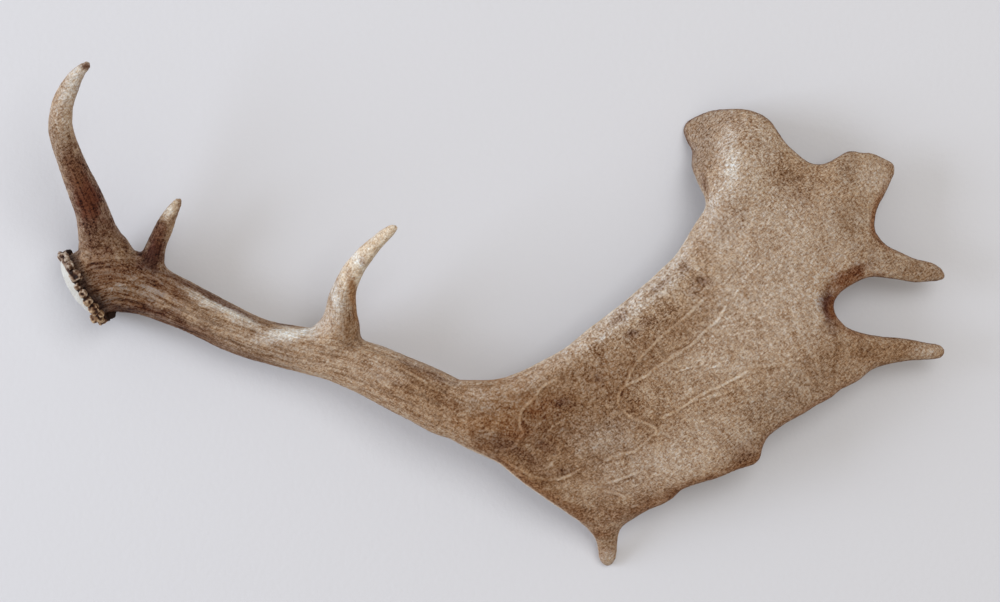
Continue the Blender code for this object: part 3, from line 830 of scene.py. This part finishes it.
# %% [markdown]
# What was worked out for each vertex is stored with the mesh as attributes. The finish reads them by name,
# so it follows the antler wherever it goes, and needs no picture. Dark, stained bone is the more uneven:
# its grain took up the stain, and the ridges between stayed pale. So the strength of the pattern grows as
# the tone darkens.

# %% Store the attributes
STREAKED_WAY = (0.0, 0.06, 0.2, 0.3, 0.36)  # metres along the beam, and how streaky its pattern is there
STREAKED = (1.0, 1.0, 0.75, 0.5, 0.12)
STREAKED_TINE = 0.7
TINE_STREAKS_END = (0.4, 0.85)  # share of a tine's length over which its streaks fade
EVEN_TONE = 0.30  # green share of the tone at which the pattern has its plain strength
PATTERN_LIMITS = (0.6, 2.2)
VALUE_FIELD = {"FLOAT": "value", "FLOAT_VECTOR": "vector", "FLOAT_COLOR": "color"}


def store(mesh, name, values, kind="FLOAT"):
    attribute = mesh.attributes.new(name, kind, "POINT")
    attribute.data.foreach_set(VALUE_FIELD[kind], np.ascontiguousarray(values, dtype=np.float32).ravel())


streaked = np.interp(way_along, STREAKED_WAY, STREAKED)
streaked += on_tine * (STREAKED_TINE * (1 - ramp(tine_share, *TINE_STREAKS_END)) - streaked)
contrast = np.clip(np.sqrt(EVEN_TONE / tone[:, 1]), *PATTERN_LIMITS)
for middle, reach, turn, extra in UNEVEN_SPOTS:
    contrast *= 1 + extra * stain_share(seen_at, ragged, middle, reach, turn)
curled = sum(extra * stain_share(seen_at, ragged, *spot) for *spot, extra in CURLED_SPOTS)
blotchy = sum(extra * stain_share(seen_at, ragged, *spot) for *spot, extra in BLOTCHY_SPOTS)
hidden_lines = FAR_FROM_VESSELS * (1 - top_side)
seen_by_finish = {
    "on_tine": on_tine,
    "streaked": streaked,
    "contrast": contrast,
    "curled": curled,
    "blotchy": blotchy,
    "hollow": hollows,
    "vessel": vessel_far + hidden_lines,
    "fine_vessel": fine_vessel_far + hidden_lines,
    "groove": groove_far + hidden_lines,
}
store(antler.data, "tone", np.column_stack([tone, np.ones(len(tone))]), "FLOAT_COLOR")
store(antler.data, "beam_grain", beam_grain, "FLOAT_VECTOR")
store(antler.data, "tine_grain", tine_grain, "FLOAT_VECTOR")
for name, values in seen_by_finish.items():
    store(antler.data, name, values)
antler.data.shade_smooth()
print("pattern strength:", round(float(contrast.min()), 2), "to", round(float(contrast.max()), 2))

# %% [markdown]
# The skin is as fine as the vessel lines ask for, and that is more than the underside needs, which carries
# few marks. A coarser skin would blur the lines. So the faces underneath are merged until the antler has a
# moderate number of triangles, and the upper side keeps every vertex.

# %% Thin the underside
MOST_TRIANGLES = 196_000
FACES_DOWN = -0.1  # upward part of the normal under which a vertex counts as underneath

underneath = antler.vertex_groups.new(name="underneath")
underneath.add(np.flatnonzero(normals[:, 2] < FACES_DOWN).tolist(), 1.0, "REPLACE")
thinning = antler.modifiers.new("thin", "DECIMATE")
thinning.vertex_group = "underneath"
thinning.ratio = MOST_TRIANGLES / (2 * len(antler.data.polygons))
settle(antler)
antler.data.calc_loop_triangles()
print("antler after thinning:", len(antler.data.loop_triangles), "triangles")

# %% [markdown]
# The finish is bone: dull, a little waxy, IOR about 1.55. Its pattern is laid in layers. Short fibres, half
# a millimetre wide, lie in three directions over the palm like felt. Longer streaks follow the grain on the
# beam and the tines. Slow mottles lie under both, and here and there thin dark curls lie among the fibres.
# Each swings round zero, so they simply add up. From some way off this reads as dry, grown bone, where one
# plain noise would read as stone.

# %% Lay the patterns of the bone
FIBRE_WIDTH = 0.55 * MM  # the real ones are finer, and would be lost between the pixels
FIBRE_STRETCH = 2.4
FIBRE_TURNS = (28, 52, -45)
FIBRE_SHARE = 2.5
FIBRES_IN_STREAKS = 0.75
STREAK_SPACING = 2.3 * MM
STREAK_STRETCH = 12.0
STREAK_SHARE = 3.2
TINE_STREAK_SHARE = 3.8
MOTTLE_SIZE = 6.0 * MM
MOTTLE_STRETCH = 1.8
MOTTLE_SHARE = 1.35
CURL_SIZE = 2.3 * MM
CURL_BAND = 0.09  # share of the noise's range that a curl takes up
CURL_LAYER = -0.5
BETWEEN_CURLS = 0.16
BONE_IOR = 1.55
BONE_GLOSS = 0.12  # weathered bone reflects less than its IOR alone says


def add(tree, kind, inputs=None, output=0, **settings):
    """Adds a node and gives one of its outputs. An input is a value, or another node's output."""
    node = tree.nodes.new("ShaderNode" + kind)
    for name, value in settings.items():
        setattr(node, name, value)
    for socket, value in (inputs or {}).items():
        if isinstance(value, bpy.types.NodeSocket):
            tree.links.new(value, node.inputs[socket])
        else:
            node.inputs[socket].default_value = value
    return node.outputs[output]


def new_material(name, roughness, ior):
    """A material with its node tree, its shader, and the place on the piece that its patterns start from."""
    material = bpy.data.materials.new(name)
    material.use_nodes = True
    tree = material.node_tree
    shader = tree.nodes["Principled BSDF"]
    shader.inputs["Roughness"].default_value = roughness
    shader.inputs["IOR"].default_value = ior
    shader.inputs["Specular IOR Level"].default_value = BONE_GLOSS
    return material, tree, shader, add(tree, "TexCoord", output="Object")


def round_zero(tree, value, middle, share):
    """The value's swing round its middle, times a share."""
    swing = add(tree, "Math", {0: value, 1: middle}, operation="SUBTRACT")
    return add(tree, "Math", {0: swing, 1: share}, operation="MULTIPLY")


def felted_fibres(tree, place):
    """Short fibres in three directions, added up."""
    total = 0.0
    for turn in FIBRE_TURNS:
        turned = {"Vector": place, "Rotation": (0, 0, math.radians(turn)), "Scale": (FIBRE_STRETCH, 1, 1)}
        fibres = {
            "Vector": add(tree, "Mapping", turned, vector_type="TEXTURE"),
            "Scale": 1 / (2 * FIBRE_WIDTH),
            "Detail": 3.0,
            "Roughness": 0.7,
            "Distortion": 0.6,
        }
        total = add(tree, "Math", {0: total, 1: add(tree, "TexNoise", fibres)}, operation="ADD")
    return round_zero(tree, total, len(FIBRE_TURNS) / 2, FIBRE_SHARE)


def curls(tree, place):
    """Thin dark curls: the lines along which slow noise has its middle value."""
    slow = {"Vector": place, "Scale": 1 / CURL_SIZE, "Detail": 0.5, "Distortion": 0.8}
    swing = add(tree, "Math", {0: add(tree, "TexNoise", slow), 1: 0.5}, operation="SUBTRACT")
    swing = add(tree, "Math", {0: swing}, operation="ABSOLUTE")
    edge = {"Value": swing, "From Max": CURL_BAND, "To Min": CURL_LAYER, "To Max": BETWEEN_CURLS}
    return add(tree, "MapRange", edge, interpolation_type="SMOOTHSTEP")


def along_grain(tree, attribute, size, stretch, share):
    """Noise stretched along the grain that the attribute holds."""
    grain = add(tree, "Attribute", output="Vector", attribute_name=attribute)
    laid = add(tree, "Mapping", {"Vector": grain, "Scale": (stretch, 1, 1)}, vector_type="TEXTURE")
    streaks = {"Vector": laid, "Scale": 1 / size, "Detail": 4.0, "Roughness": 0.75, "Distortion": 0.4}
    return round_zero(tree, add(tree, "TexNoise", streaks), 0.5, share)


bone, tree, shader, place = new_material("antler_bone", 0.55, BONE_IOR)
seen = {name: add(tree, "Attribute", output="Fac", attribute_name=name) for name in seen_by_finish}
tone_seen = add(tree, "Attribute", output="Color", attribute_name="tone")

fibres = felted_fibres(tree, place)
beam_streaks = along_grain(tree, "beam_grain", STREAK_SPACING, STREAK_STRETCH, STREAK_SHARE)
tine_streaks = along_grain(tree, "tine_grain", STREAK_SPACING, STREAK_STRETCH, TINE_STREAK_SHARE)
mottles = along_grain(tree, "beam_grain", MOTTLE_SIZE, MOTTLE_STRETCH, MOTTLE_SHARE)
streaks = add(tree, "Mix", {0: seen["on_tine"], 2: beam_streaks, 3: tine_streaks})
streaky = add(tree, "Math", {0: fibres, 1: FIBRES_IN_STREAKS, 2: streaks}, operation="MULTIPLY_ADD")
pattern = add(tree, "Mix", {0: seen["streaked"], 2: fibres, 3: streaky})
pattern = add(tree, "Math", {0: pattern, 1: mottles}, operation="ADD")
pattern = add(tree, "Math", {0: curls(tree, place), 1: seen["curled"], 2: pattern}, operation="MULTIPLY_ADD")
print("bone patterns:", len(tree.nodes), "nodes")

# %% [markdown]
# The pattern turns into colour as an exponent, which is how stain builds up in bone: each layer takes away
# the same share of the light, more of the blue than of the red. A gamma node raises that share to the power
# of the pattern, below zero for more stain and above it for less. The vessel lines are pale, with a band of
# painted shade on both sides of each, and breaks here and there. Grooves and blotches are stained deeper,
# and the darkening of the hollows comes last.

# %% Lay colour, lines, dirt and bump on the bone
LAYER = (math.exp(0.71), math.exp(1.0), math.exp(1.3), 1.0)
WARMER = (math.exp(0.4), 1.0, math.exp(-0.6), 1.0)
WARMTH_SIZE = 1.6 * MM
WARMTH_SHARE = 0.8
BLOTCH_SIZE = 6.0 * MM
BLOTCH_EDGE = (0.48, 0.72)
BLOTCH_WARMTH = 0.35
BLOTCH_LAYER = -0.7
STREAK_WARMTH = -0.4  # in the blotchy places the dark grain is the redder one
HELD_BACK = 0.35  # pale grain stays near the bone's own tone, dark grain goes deeper
RIDGE_PX = (2.1, 0.6)  # distance from a line where its pale ridge starts, and where it is full
# Band of painted shade on both sides of a vessel line: where it starts, and where it is full
SHADE_BESIDE_LINE_PX = (5.5, 2.8)
GROOVE_PX = (2.2, 0.6)
VESSEL_LAYER = 0.46
SHADE_BESIDE_LINE_LAYER = -0.18
GROOVE_LAYER = -0.5
FINE_LINES = 0.6
FINE_WIDTH = 0.7
LINE_CALM = 0.55  # how much plainer the fibres are on a main line
CALM_PX = (0.5, 2.0)
BREAK_SIZE = 9.0 * MM
BREAKS = (0.38, 0.52)
BROKEN_SHARE = 0.55
PATTERN_BUMP = 0.12 * MM
LINE_BUMP = 0.12 * MM
HOLLOW_TINT = (0.30, 0.21, 0.16, 1.0)  # share of the colour that is left in the deepest hollows
DARKEST_HOLLOW = 0.3  # mm
MOST_HOLLOW_DARKENING = 0.9
ROUGHNESS = ((-0.4, 0.68), (0.4, 0.5))  # layers of stain, and how rough the bone is there

lines = 0.0
# Attribute, its start and its full distance, layer, share of the strength, share of the width
for name, (start, full), layer, share, width in (
    ("vessel", SHADE_BESIDE_LINE_PX, SHADE_BESIDE_LINE_LAYER, 1.0, 1.0),
    ("vessel", RIDGE_PX, VESSEL_LAYER - SHADE_BESIDE_LINE_LAYER, 1.0, 1.0),
    ("fine_vessel", SHADE_BESIDE_LINE_PX, SHADE_BESIDE_LINE_LAYER, FINE_LINES, FINE_WIDTH),
    ("fine_vessel", RIDGE_PX, VESSEL_LAYER - SHADE_BESIDE_LINE_LAYER, FINE_LINES, FINE_WIDTH),
    ("groove", GROOVE_PX, GROOVE_LAYER, 1.0, 1.0),
):
    edge = {"Value": seen[name], "From Min": start * width, "From Max": full * width, "To Max": layer * share}
    line = add(tree, "MapRange", edge, interpolation_type="SMOOTHSTEP")
    lines = add(tree, "Math", {0: lines, 1: line}, operation="ADD")
breaks = add(tree, "TexNoise", {"Vector": place, "Scale": 1 / BREAK_SIZE, "Detail": 3.0})
edge = {"Value": breaks, "From Min": BREAKS[0], "From Max": BREAKS[1], "To Min": BROKEN_SHARE}
lines = add(tree, "Math", {0: lines, 1: add(tree, "MapRange", edge)}, operation="MULTIPLY")
edge = {"Value": seen["vessel"], "From Min": CALM_PX[0], "From Max": CALM_PX[1], "To Min": 1 - LINE_CALM}
pattern = add(tree, "Math", {0: pattern, 1: add(tree, "MapRange", edge)}, operation="MULTIPLY")

blotches = add(tree, "TexNoise", {"Vector": place, "Scale": 1 / BLOTCH_SIZE, "Detail": 5.0, "Roughness": 0.7})
edge = {"Value": blotches, "From Min": BLOTCH_EDGE[0], "From Max": BLOTCH_EDGE[1]}
blotches = add(tree, "Math", {0: add(tree, "MapRange", edge), 1: seen["blotchy"]}, operation="MULTIPLY")
strong = add(tree, "Math", {0: pattern, 1: seen["contrast"]}, operation="MULTIPLY")
held = add(tree, "Math", {0: strong, 1: -HELD_BACK, 2: 1.0}, operation="MULTIPLY_ADD")
under = add(tree, "Math", {0: blotches, 1: BLOTCH_LAYER, 2: lines}, operation="MULTIPLY_ADD")
layers = add(tree, "Math", {0: strong, 1: held, 2: under}, operation="MULTIPLY_ADD")
stain = add(tree, "Gamma", {"Color": LAYER, "Gamma": layers})

warmth = add(tree, "TexNoise", {"Vector": place, "Scale": 1 / WARMTH_SIZE, "Detail": 3.0})
warmth = round_zero(tree, warmth, 0.5, WARMTH_SHARE)
warmth = add(tree, "Math", {0: blotches, 1: BLOTCH_WARMTH, 2: warmth}, operation="MULTIPLY_ADD")
grain_there = add(tree, "Math", {0: strong, 1: seen["blotchy"]}, operation="MULTIPLY")
warmth = add(tree, "Math", {0: grain_there, 1: STREAK_WARMTH, 2: warmth}, operation="MULTIPLY_ADD")
tint = add(tree, "Gamma", {"Color": WARMER, "Gamma": warmth})
colour = tone_seen
for coat in (stain, tint):
    colour = add(tree, "Mix", {0: 1.0, 6: colour, 7: coat}, output=2, data_type="RGBA", blend_type="MULTIPLY")
# Darker in the hollows, most in the deepest
hollow_colour = add(tree, "Mix", {0: 1.0, 6: colour, 7: HOLLOW_TINT}, output=2, data_type="RGBA", blend_type="MULTIPLY")
hollow_darkening = add(tree, "MapRange", {"Value": seen["hollow"], "From Max": DARKEST_HOLLOW, "To Max": MOST_HOLLOW_DARKENING})
colour = add(tree, "Mix", {0: hollow_darkening, 6: colour, 7: hollow_colour}, output=2, data_type="RGBA")
tree.links.new(colour, shader.inputs["Base Color"])
(dark, rough), (pale, smooth) = ROUGHNESS
worn = {"Value": layers, "From Min": dark, "From Max": pale, "To Min": rough, "To Max": smooth}
tree.links.new(add(tree, "MapRange", worn), shader.inputs["Roughness"])
bump = add(tree, "Bump", {"Height": pattern, "Strength": 1.0, "Distance": PATTERN_BUMP})
bump = add(tree, "Bump", {"Height": lines, "Strength": 1.0, "Distance": LINE_BUMP, "Normal": bump})
tree.links.new(bump, shader.inputs["Normal"])
antler.data.materials.append(bone)
print("whole bone finish:", len(tree.nodes), "nodes")

# %% [markdown]
# The burr is a ring of pearls: lumps of bone that grew between the vessels, with dark cracks between them.
# It could be one noisy torus, but the pearls in the photograph are separate and unequal. So those that show
# are placed from it, the hidden ones follow by chance with a fixed seed, and a fine voxel skin joins them
# to a thin ring.

# %% Build the burr's pearls
RING_RADIUS = 24.6 * MM
RING_THICKNESS = 1.7 * MM
RING_SHIFT = -1.4 * MM
BURR_VOXEL = 0.6 * MM
PEARLS_OUT = 0.8 * MM  # from the ring to the middles of the pearls
BOXY = 0.72  # 1 for a round pearl, less for a blocky one
PEARL_LUMPS = ((0.3, 1.6), (0.12, 4.0))  # how high the lumps on a pearl are, and how many
DIMPLE_DEPTH = (0.15, 0.5)
DIMPLE_SPREAD = 0.15
PEARL_SEED = 5
HIDDEN_PEARLS = 19
HIDDEN_SPREAD = 1.14  # half turns of the ring that the hidden pearls fill
HIDDEN_REACHES = ((2.4, 3.6), (2.8, 4.2), (3.4, 4.4))  # mm, in the order of the three below
HIDDEN_ALONG = (-1, 2)  # mm
# Middle of each pearl that shows, in px, then its reach along the ring, along the beam and outwards, in mm
SEEN_PEARLS = [
    ((62.2, 255.6), 5.3, 3.8, 4.7),
    ((67.4, 257.8), 3.4, 1.9, 3.9),
    ((69.0, 251.3), 2.2, 2.0, 3.6),
    ((68.0, 261.5), 2.0, 2.4, 4.0),
    ((71.0, 267.3), 3.4, 3.4, 4.4),
    ((76.2, 276.8), 4.8, 4.7, 5.2),
    ((77.3, 287.2), 2.7, 2.5, 3.8),
    ((82.6, 293.4), 3.5, 3.3, 4.3),
    ((87.4, 301.6), 3.2, 3.5, 4.1),
    ((93.4, 308.6), 4.4, 4.4, 5.0),
    ((99.8, 312.8), 2.4, 2.9, 4.0),
    ((94.2, 317.3), 3.0, 3.2, 4.3),
    ((101.0, 321.4), 2.6, 3.2, 4.0),
    ((106.6, 321.6), 3.0, 4.0, 4.4),
    ((112.4, 317.6), 4.0, 4.4, 4.0),
    ((62.2, 256.0), 4.4, 1.4, 5.6),
]
# Dark spots of painted shade between and in the pearls, counted as deep hollows: middle and reach in px, then
# how deep
SHADE_SPOTS_PX = [
    ((69.5, 250.6), 2.8, 0.6),
    ((71.0, 272.3), 2.4, 0.8),
    ((76.4, 277.4), 2.2, 0.45),
    ((78.4, 285.0), 1.8, 0.5),
    ((94.3, 308.8), 2.2, 0.3),
    ((112.4, 316.6), 5.5, 0.8),
]


def ring_place(pixel):
    """How far aside, how high and how far along the burr's axis a pearl sits that shows at that pixel."""
    turned = Vector((math.cos(BURR_TURN), math.sin(BURR_TURN)))
    height = RING_RADIUS / 2
    for _ in range(4):
        scale = MM_PER_PX * MM * (CAMERA_HEIGHT - burr_middle.z - height) / BURR_DISTANCE
        spot = Vector(((pixel[0] - PHOTO_MIDDLE_PX[0]) * scale, (PHOTO_MIDDLE_PX[1] - pixel[1]) * scale))
        spot += camera.location.xy - burr_middle.xy
        sideways = turned.x * spot.y - turned.y * spot.x
        height = math.sqrt(max(0.0, RING_RADIUS**2 - sideways**2))
    along = (spot.dot(turned) + height * math.sin(BURR_TILT)) / math.cos(BURR_TILT)
    return sideways, height, along


def add_pearl(bm, angle, along, reaches, draw):
    """One lump of bone, knobbly, and often with a dimple."""
    reach_round, reach_along, reach_out = (reach * MM for reach in reaches)
    size = Matrix.Diagonal((reach_out, reach_round, reach_along, 1.0))
    outwards = Matrix.Translation((RING_RADIUS + PEARLS_OUT, 0, along))
    pearl = bmesh.ops.create_icosphere(bm, subdivisions=4, radius=1.0)["verts"]
    dimple = Vector((1.0, draw.uniform(-0.3, 0.3), draw.uniform(-0.4, 0.4))).normalized()
    depth = draw.uniform(*DIMPLE_DEPTH)
    shift = Vector((draw.uniform(0, 50), 0, 0))
    for vert in pearl:
        rough = 1 + sum(height * noise.noise(vert.co * count + shift) for height, count in PEARL_LUMPS)
        rough -= depth * math.exp(-((vert.co - dimple).length_squared) / DIMPLE_SPREAD)
        vert.co = Vector([math.copysign(abs(side) ** BOXY, side) for side in vert.co]) * rough * BOXY**0.5
    bmesh.ops.transform(bm, matrix=burr_axes @ Matrix.Rotation(angle, 4, "Z") @ outwards @ size, verts=pearl)


draw = random.Random(PEARL_SEED)
pearls = bmesh.new()
section = Matrix.Translation((RING_RADIUS - RING_THICKNESS / 2, 0, RING_SHIFT))
section = section @ Matrix.Rotation(math.pi / 2, 4, "X")
ring = bmesh.ops.create_circle(pearls, segments=16, radius=RING_THICKNESS, matrix=section)["verts"]
ring_edges = list({edge for vert in ring for edge in vert.link_edges})
bmesh.ops.spin(
    pearls,
    geom=ring + ring_edges,
    cent=(0, 0, 0),
    axis=(0, 0, 1),
    angle=2 * math.pi,
    steps=96,
    use_merge=True,
)
bmesh.ops.transform(pearls, matrix=burr_axes, verts=pearls.verts[:])
to_ring = burr_axes.inverted().to_3x3()
up_in_ring = (to_ring @ Vector((0, 0, 1))).normalized()
aside_in_ring = (to_ring @ Vector((-math.sin(BURR_TURN), math.cos(BURR_TURN), 0))).normalized()
seen_angles = []
for pixel, *reaches in SEEN_PEARLS:
    sideways, height, along = ring_place(pixel)
    out = up_in_ring * height + aside_in_ring * sideways
    angle = math.atan2(out.y, out.x)
    seen_angles.append(round(math.degrees(angle)))
    add_pearl(pearls, angle, along, reaches, draw)
low_angle = math.atan2(-up_in_ring.y, -up_in_ring.x)
for number in range(HIDDEN_PEARLS):
    spread = math.pi * HIDDEN_SPREAD * ((number + draw.uniform(0.3, 0.7)) / HIDDEN_PEARLS - 0.5)
    reaches = [draw.uniform(*limits) for limits in HIDDEN_REACHES]
    add_pearl(pearls, low_angle + spread, draw.uniform(*HIDDEN_ALONG) * MM, reaches, draw)
bmesh.ops.recalc_face_normals(pearls, faces=pearls.faces[:])
burr = wrap(pearls, "burr", BURR_VOXEL)
print("pearls at", seen_angles, "degrees;", len(burr.data.polygons), "faces")

# %% [markdown]
# The seal is the foot where the antler broke from the skull. It bulges, and it is raw spongy bone: chalk
# white, with small pits. A ball flattened to a lens gives the bulge, and noise moved into it gives the
# pits.

# %% Build the seal
SEAL_RADIUS = 22.5 * MM
SEAL_BULGE = 8.5 * MM
SEAL_SHIFT = 2.5 * MM
PIT_DEPTH = 0.5 * MM
PIT_SPACING = 2.72 * MM
PIT_REACH = 0.38  # share of the spacing from a pit's middle to its edge
SEAL_SWELL = 0.7 * MM
SEAL_SWELL_SIZE = 7 * MM

lens = bmesh.new()
bmesh.ops.create_icosphere(lens, subdivisions=6, radius=1.0)
flattened = Matrix.Diagonal((SEAL_RADIUS, SEAL_RADIUS, SEAL_BULGE, 1.0))
in_burr = burr_axes @ Matrix.Translation((0, SEAL_SHIFT, 0))
bmesh.ops.transform(lens, matrix=in_burr @ flattened, verts=lens.verts[:])
lens.normal_update()
for vert, normal in [(vert, vert.normal.copy()) for vert in lens.verts]:
    from_pit = noise.voronoi(vert.co / PIT_SPACING)[0][0]
    pit = max(0.0, PIT_REACH - from_pit) / PIT_REACH
    swell = noise.noise(vert.co / SEAL_SWELL_SIZE) * SEAL_SWELL
    vert.co += normal * (swell - pit * PIT_DEPTH)
seal_mesh = bpy.data.meshes.new("seal")
lens.to_mesh(seal_mesh)
lens.free()
seal_mesh.shade_smooth()
seal = show("seal", seal_mesh)
print("seal:", len(seal_mesh.polygons), "faces")

# %% [markdown]
# The pearls are grey-tan on top, where hands and weather have rubbed them, and nearly black in the cracks,
# which hold old blood and soil. The finish paints both stronger: a highlight on the rims, and shade in the
# cracks and on the side of the pearls that faces the beam. Their hollows are measured as on the skin, a few
# deep ones are added as spots of painted shade where the photograph shows them, and the finish runs from one
# tone to the other.

# %% Roughen and finish the burr
PEARL_GRIT = 0.22 * MM
PEARL_GRIT_SIZE = 1.5 * MM
SHADED_ALONG_BEAM = (2.5 * MM, 6 * MM)  # along the beam, where painted shade darkens the side of the pearls that faces the beam
BEAM_SIDE_SHADE = 0.4
PEARL_HOLLOW_ROUNDS = 14
AMBER = (1.0, 0.86, 0.66, 1.0)
AMBER_PX = (280, 318)  # down the photograph: the lowest pearls are the yellower ones
WEAR_AND_HIGHLIGHT = (0.25, -0.42)  # mm below or above the surroundings where the pearls start to lighten from the dark of the cracks, and where they are palest: wear, and a painted highlight on the rims
GRAIN_SIZE = 3 * MM
GRAIN_SHARE = 0.7
GRAIN_BUMP = 0.3 * MM
# From near black in the cracks to pale on the rims: partly dirt and wear, partly painted shade and painted
# highlight
PEARL_COLOURS = ((0.0, "#20120b"), (0.3, "#351f16"), (0.52, "#654b39"), (0.75, "#8c7765"), (1.0, "#b5a798"))

places, normals, edges = read_mesh(burr.data)
places = eased(places, edges, [STEP_IN, STEP_OUT])
places += normals * (noise_at(places, PEARL_GRIT_SIZE) * PEARL_GRIT)[:, None]
places[:, 2] = np.maximum(places[:, 2], 0.0)
write_places(burr.data, places)
on_burr = moved(places, burr_axes.inverted())
shade_beside_beam = BEAM_SIDE_SHADE * ramp(on_burr[:, 2], *SHADED_ALONG_BEAM)
seen_at = in_photo(places)
# The painted shade beside the beam and the spots of painted shade are added to the hollows, so they darken
# the pearls like deep cracks
hollows = hollows_of(burr.data, PEARL_HOLLOW_ROUNDS) + shade_beside_beam
for middle, reach, depth in SHADE_SPOTS_PX:
    hollows += depth * stain_share(seen_at, 0.0, middle, (reach, reach), 0)
store(burr.data, "hollow", hollows)
store(burr.data, "amber", ramp(seen_at[:, 1], *AMBER_PX))
burr.data.shade_smooth()

pearl_bone, tree, shader, place = new_material("pearl_bone", 0.6, BONE_IOR)
grain = add(tree, "TexNoise", {"Vector": place, "Scale": 1 / GRAIN_SIZE, "Detail": 4.0, "Roughness": 0.6})
hollow_seen = add(tree, "Attribute", output="Fac", attribute_name="hollow")
worn = add(tree, "MapRange", {"Value": hollow_seen, "From Min": WEAR_AND_HIGHLIGHT[0], "From Max": WEAR_AND_HIGHLIGHT[1]})
worn = add(tree, "Math", {0: grain, 1: GRAIN_SHARE, 2: worn}, operation="MULTIPLY_ADD")
worn = add(tree, "Math", {0: worn, 1: GRAIN_SHARE / 2}, operation="SUBTRACT", use_clamp=True)
colour = add(tree, "ValToRGB", {"Fac": worn})
stops = colour.node.color_ramp.elements
while len(stops) < len(PEARL_COLOURS):
    stops.new(1.0)
for stop, (position, hex_colour) in zip(stops, PEARL_COLOURS):
    stop.position = position
    stop.color = (*linear(hex_colour), 1.0)
amber = add(tree, "Attribute", output="Fac", attribute_name="amber")
colour = add(tree, "Mix", {0: amber, 6: colour, 7: AMBER}, output=2, data_type="RGBA", blend_type="MULTIPLY")
tree.links.new(colour, shader.inputs["Base Color"])
bump = add(tree, "Bump", {"Height": grain, "Strength": 0.5, "Distance": GRAIN_BUMP})
tree.links.new(bump, shader.inputs["Normal"])
burr.data.materials.append(pearl_bone)
print("hollows of the burr, mm:", round(float(hollows.min()), 2), "to", round(float(hollows.max()), 2))

# %% [markdown]
# Raw bone inside the seal is matt and chalky, a warm white with brown dust in its pits.

# %% Finish the seal
CHALK = (*linear("#cfcec8"), 1.0)
GREY_CHALK = (*linear("#bbb8ae"), 1.0)
CLOUD_SIZE = 6 * MM
CHALK_BUMP = 0.4 * MM
PIT_DUST = (*linear("#a08c78"), 1.0)
DUSTY = (0.36, 0.1)  # share of the pits' spacing where the dust starts, and where it is full
MOST_DUST = 0.4

raw_bone, tree, shader, place = new_material("spongy_bone", 0.8, BONE_IOR)
cloudy = add(tree, "TexNoise", {"Vector": place, "Scale": 1 / CLOUD_SIZE, "Detail": 4.0})
colour = add(tree, "Mix", {0: cloudy, 6: CHALK, 7: GREY_CHALK}, output=2, data_type="RGBA")
cells = add(tree, "TexVoronoi", {"Vector": place, "Scale": 1 / PIT_SPACING})
edge = {"Value": cells, "From Min": DUSTY[0], "From Max": DUSTY[1], "To Max": MOST_DUST}
dusty = add(tree, "MapRange", edge)
colour = add(tree, "Mix", {0: dusty, 6: colour, 7: PIT_DUST}, output=2, data_type="RGBA")
tree.links.new(colour, shader.inputs["Base Color"])
bump = add(tree, "Bump", {"Height": cloudy, "Strength": 0.4, "Distance": CHALK_BUMP})
tree.links.new(bump, shader.inputs["Normal"])
seal.data.materials.append(raw_bone)
print("seal finish:", len(tree.nodes), "nodes")

# %% [markdown]
# The antler lies on a pale plastered board. Its faint tooth comes from a fine noise bump.

# %% Lay the floor
FLOOR_SIDE = 8.0
TOOTH_SIZE = 4 * MM
TOOTH_BUMP = 0.4 * MM

floor_bm = bmesh.new()
bmesh.ops.create_grid(floor_bm, x_segments=1, y_segments=1, size=FLOOR_SIDE / 2)
floor_mesh = bpy.data.meshes.new("floor")
floor_bm.to_mesh(floor_mesh)
floor_bm.free()
floor = show("floor", floor_mesh)
plaster, tree, shader, place = new_material("pale_plaster", 0.85, 1.5)
shader.inputs["Base Color"].default_value = (*linear("#d7d8dc"), 1.0)
tooth = add(tree, "TexNoise", {"Vector": place, "Scale": 1 / TOOTH_SIZE, "Detail": 3.0})
bump = add(tree, "Bump", {"Height": tooth, "Strength": 0.4, "Distance": TOOTH_BUMP})
tree.links.new(bump, shader.inputs["Normal"])
floor.data.materials.append(plaster)
print("floor:", FLOOR_SIDE, "m square")

# %% [markdown]
# The light in the photograph is soft daylight. A low, cool window at the left leaves a warm shadow to the
# right of the antler, and a softer white light from above leaves a faint one below it and to its left. The
# room adds a warm light from all round. A world alone would leave hardly any shadow, so two large panels
# stand in for window and ceiling.

# %% Light the antler
WORLD_COLOUR = (1.0, 0.93, 0.86, 1.0)
WORLD_SHARE = 0.50
# Name, place in metres, size, watts and colour
PANELS = [
    ("window", Vector((-2.95, 0.0, 1.2)), 1.8, 79.0, (0.80, 0.87, 1.0)),
    ("ceiling", Vector((0.95, 0.95, 2.9)), 1.8, 36.5, (1.0, 1.0, 1.0)),
]

world = bpy.data.worlds.new("daylight")
bpy.context.scene.world = world
world.use_nodes = True
world.node_tree.nodes["Background"].inputs["Color"].default_value = WORLD_COLOUR
world.node_tree.nodes["Background"].inputs["Strength"].default_value = WORLD_SHARE
for name, panel_place, size, watts, panel_colour in PANELS:
    panel_data = bpy.data.lights.new(name, "AREA")
    panel_data.size = size
    panel_data.energy = watts
    panel_data.color = panel_colour
    panel = bpy.data.objects.new(name, panel_data)
    bpy.context.scene.collection.objects.link(panel)
    panel.location = panel_place
    panel.rotation_euler = (-panel_place).to_track_quat("-Z", "Y").to_euler()
bpy.context.scene.view_settings.view_transform = "Standard"
print("panels of light:", len(PANELS))

# %% [markdown]
# Last, the three pieces are tied to the frame: they ride on its only body and stand for its five nodes,
# which are hidden.

# %% Tie the pieces to the frame
for piece in (antler, burr, seal):
    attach(piece, "root")
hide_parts("beam", "brow_tine", "second_tine", "trez_tine", "palm")
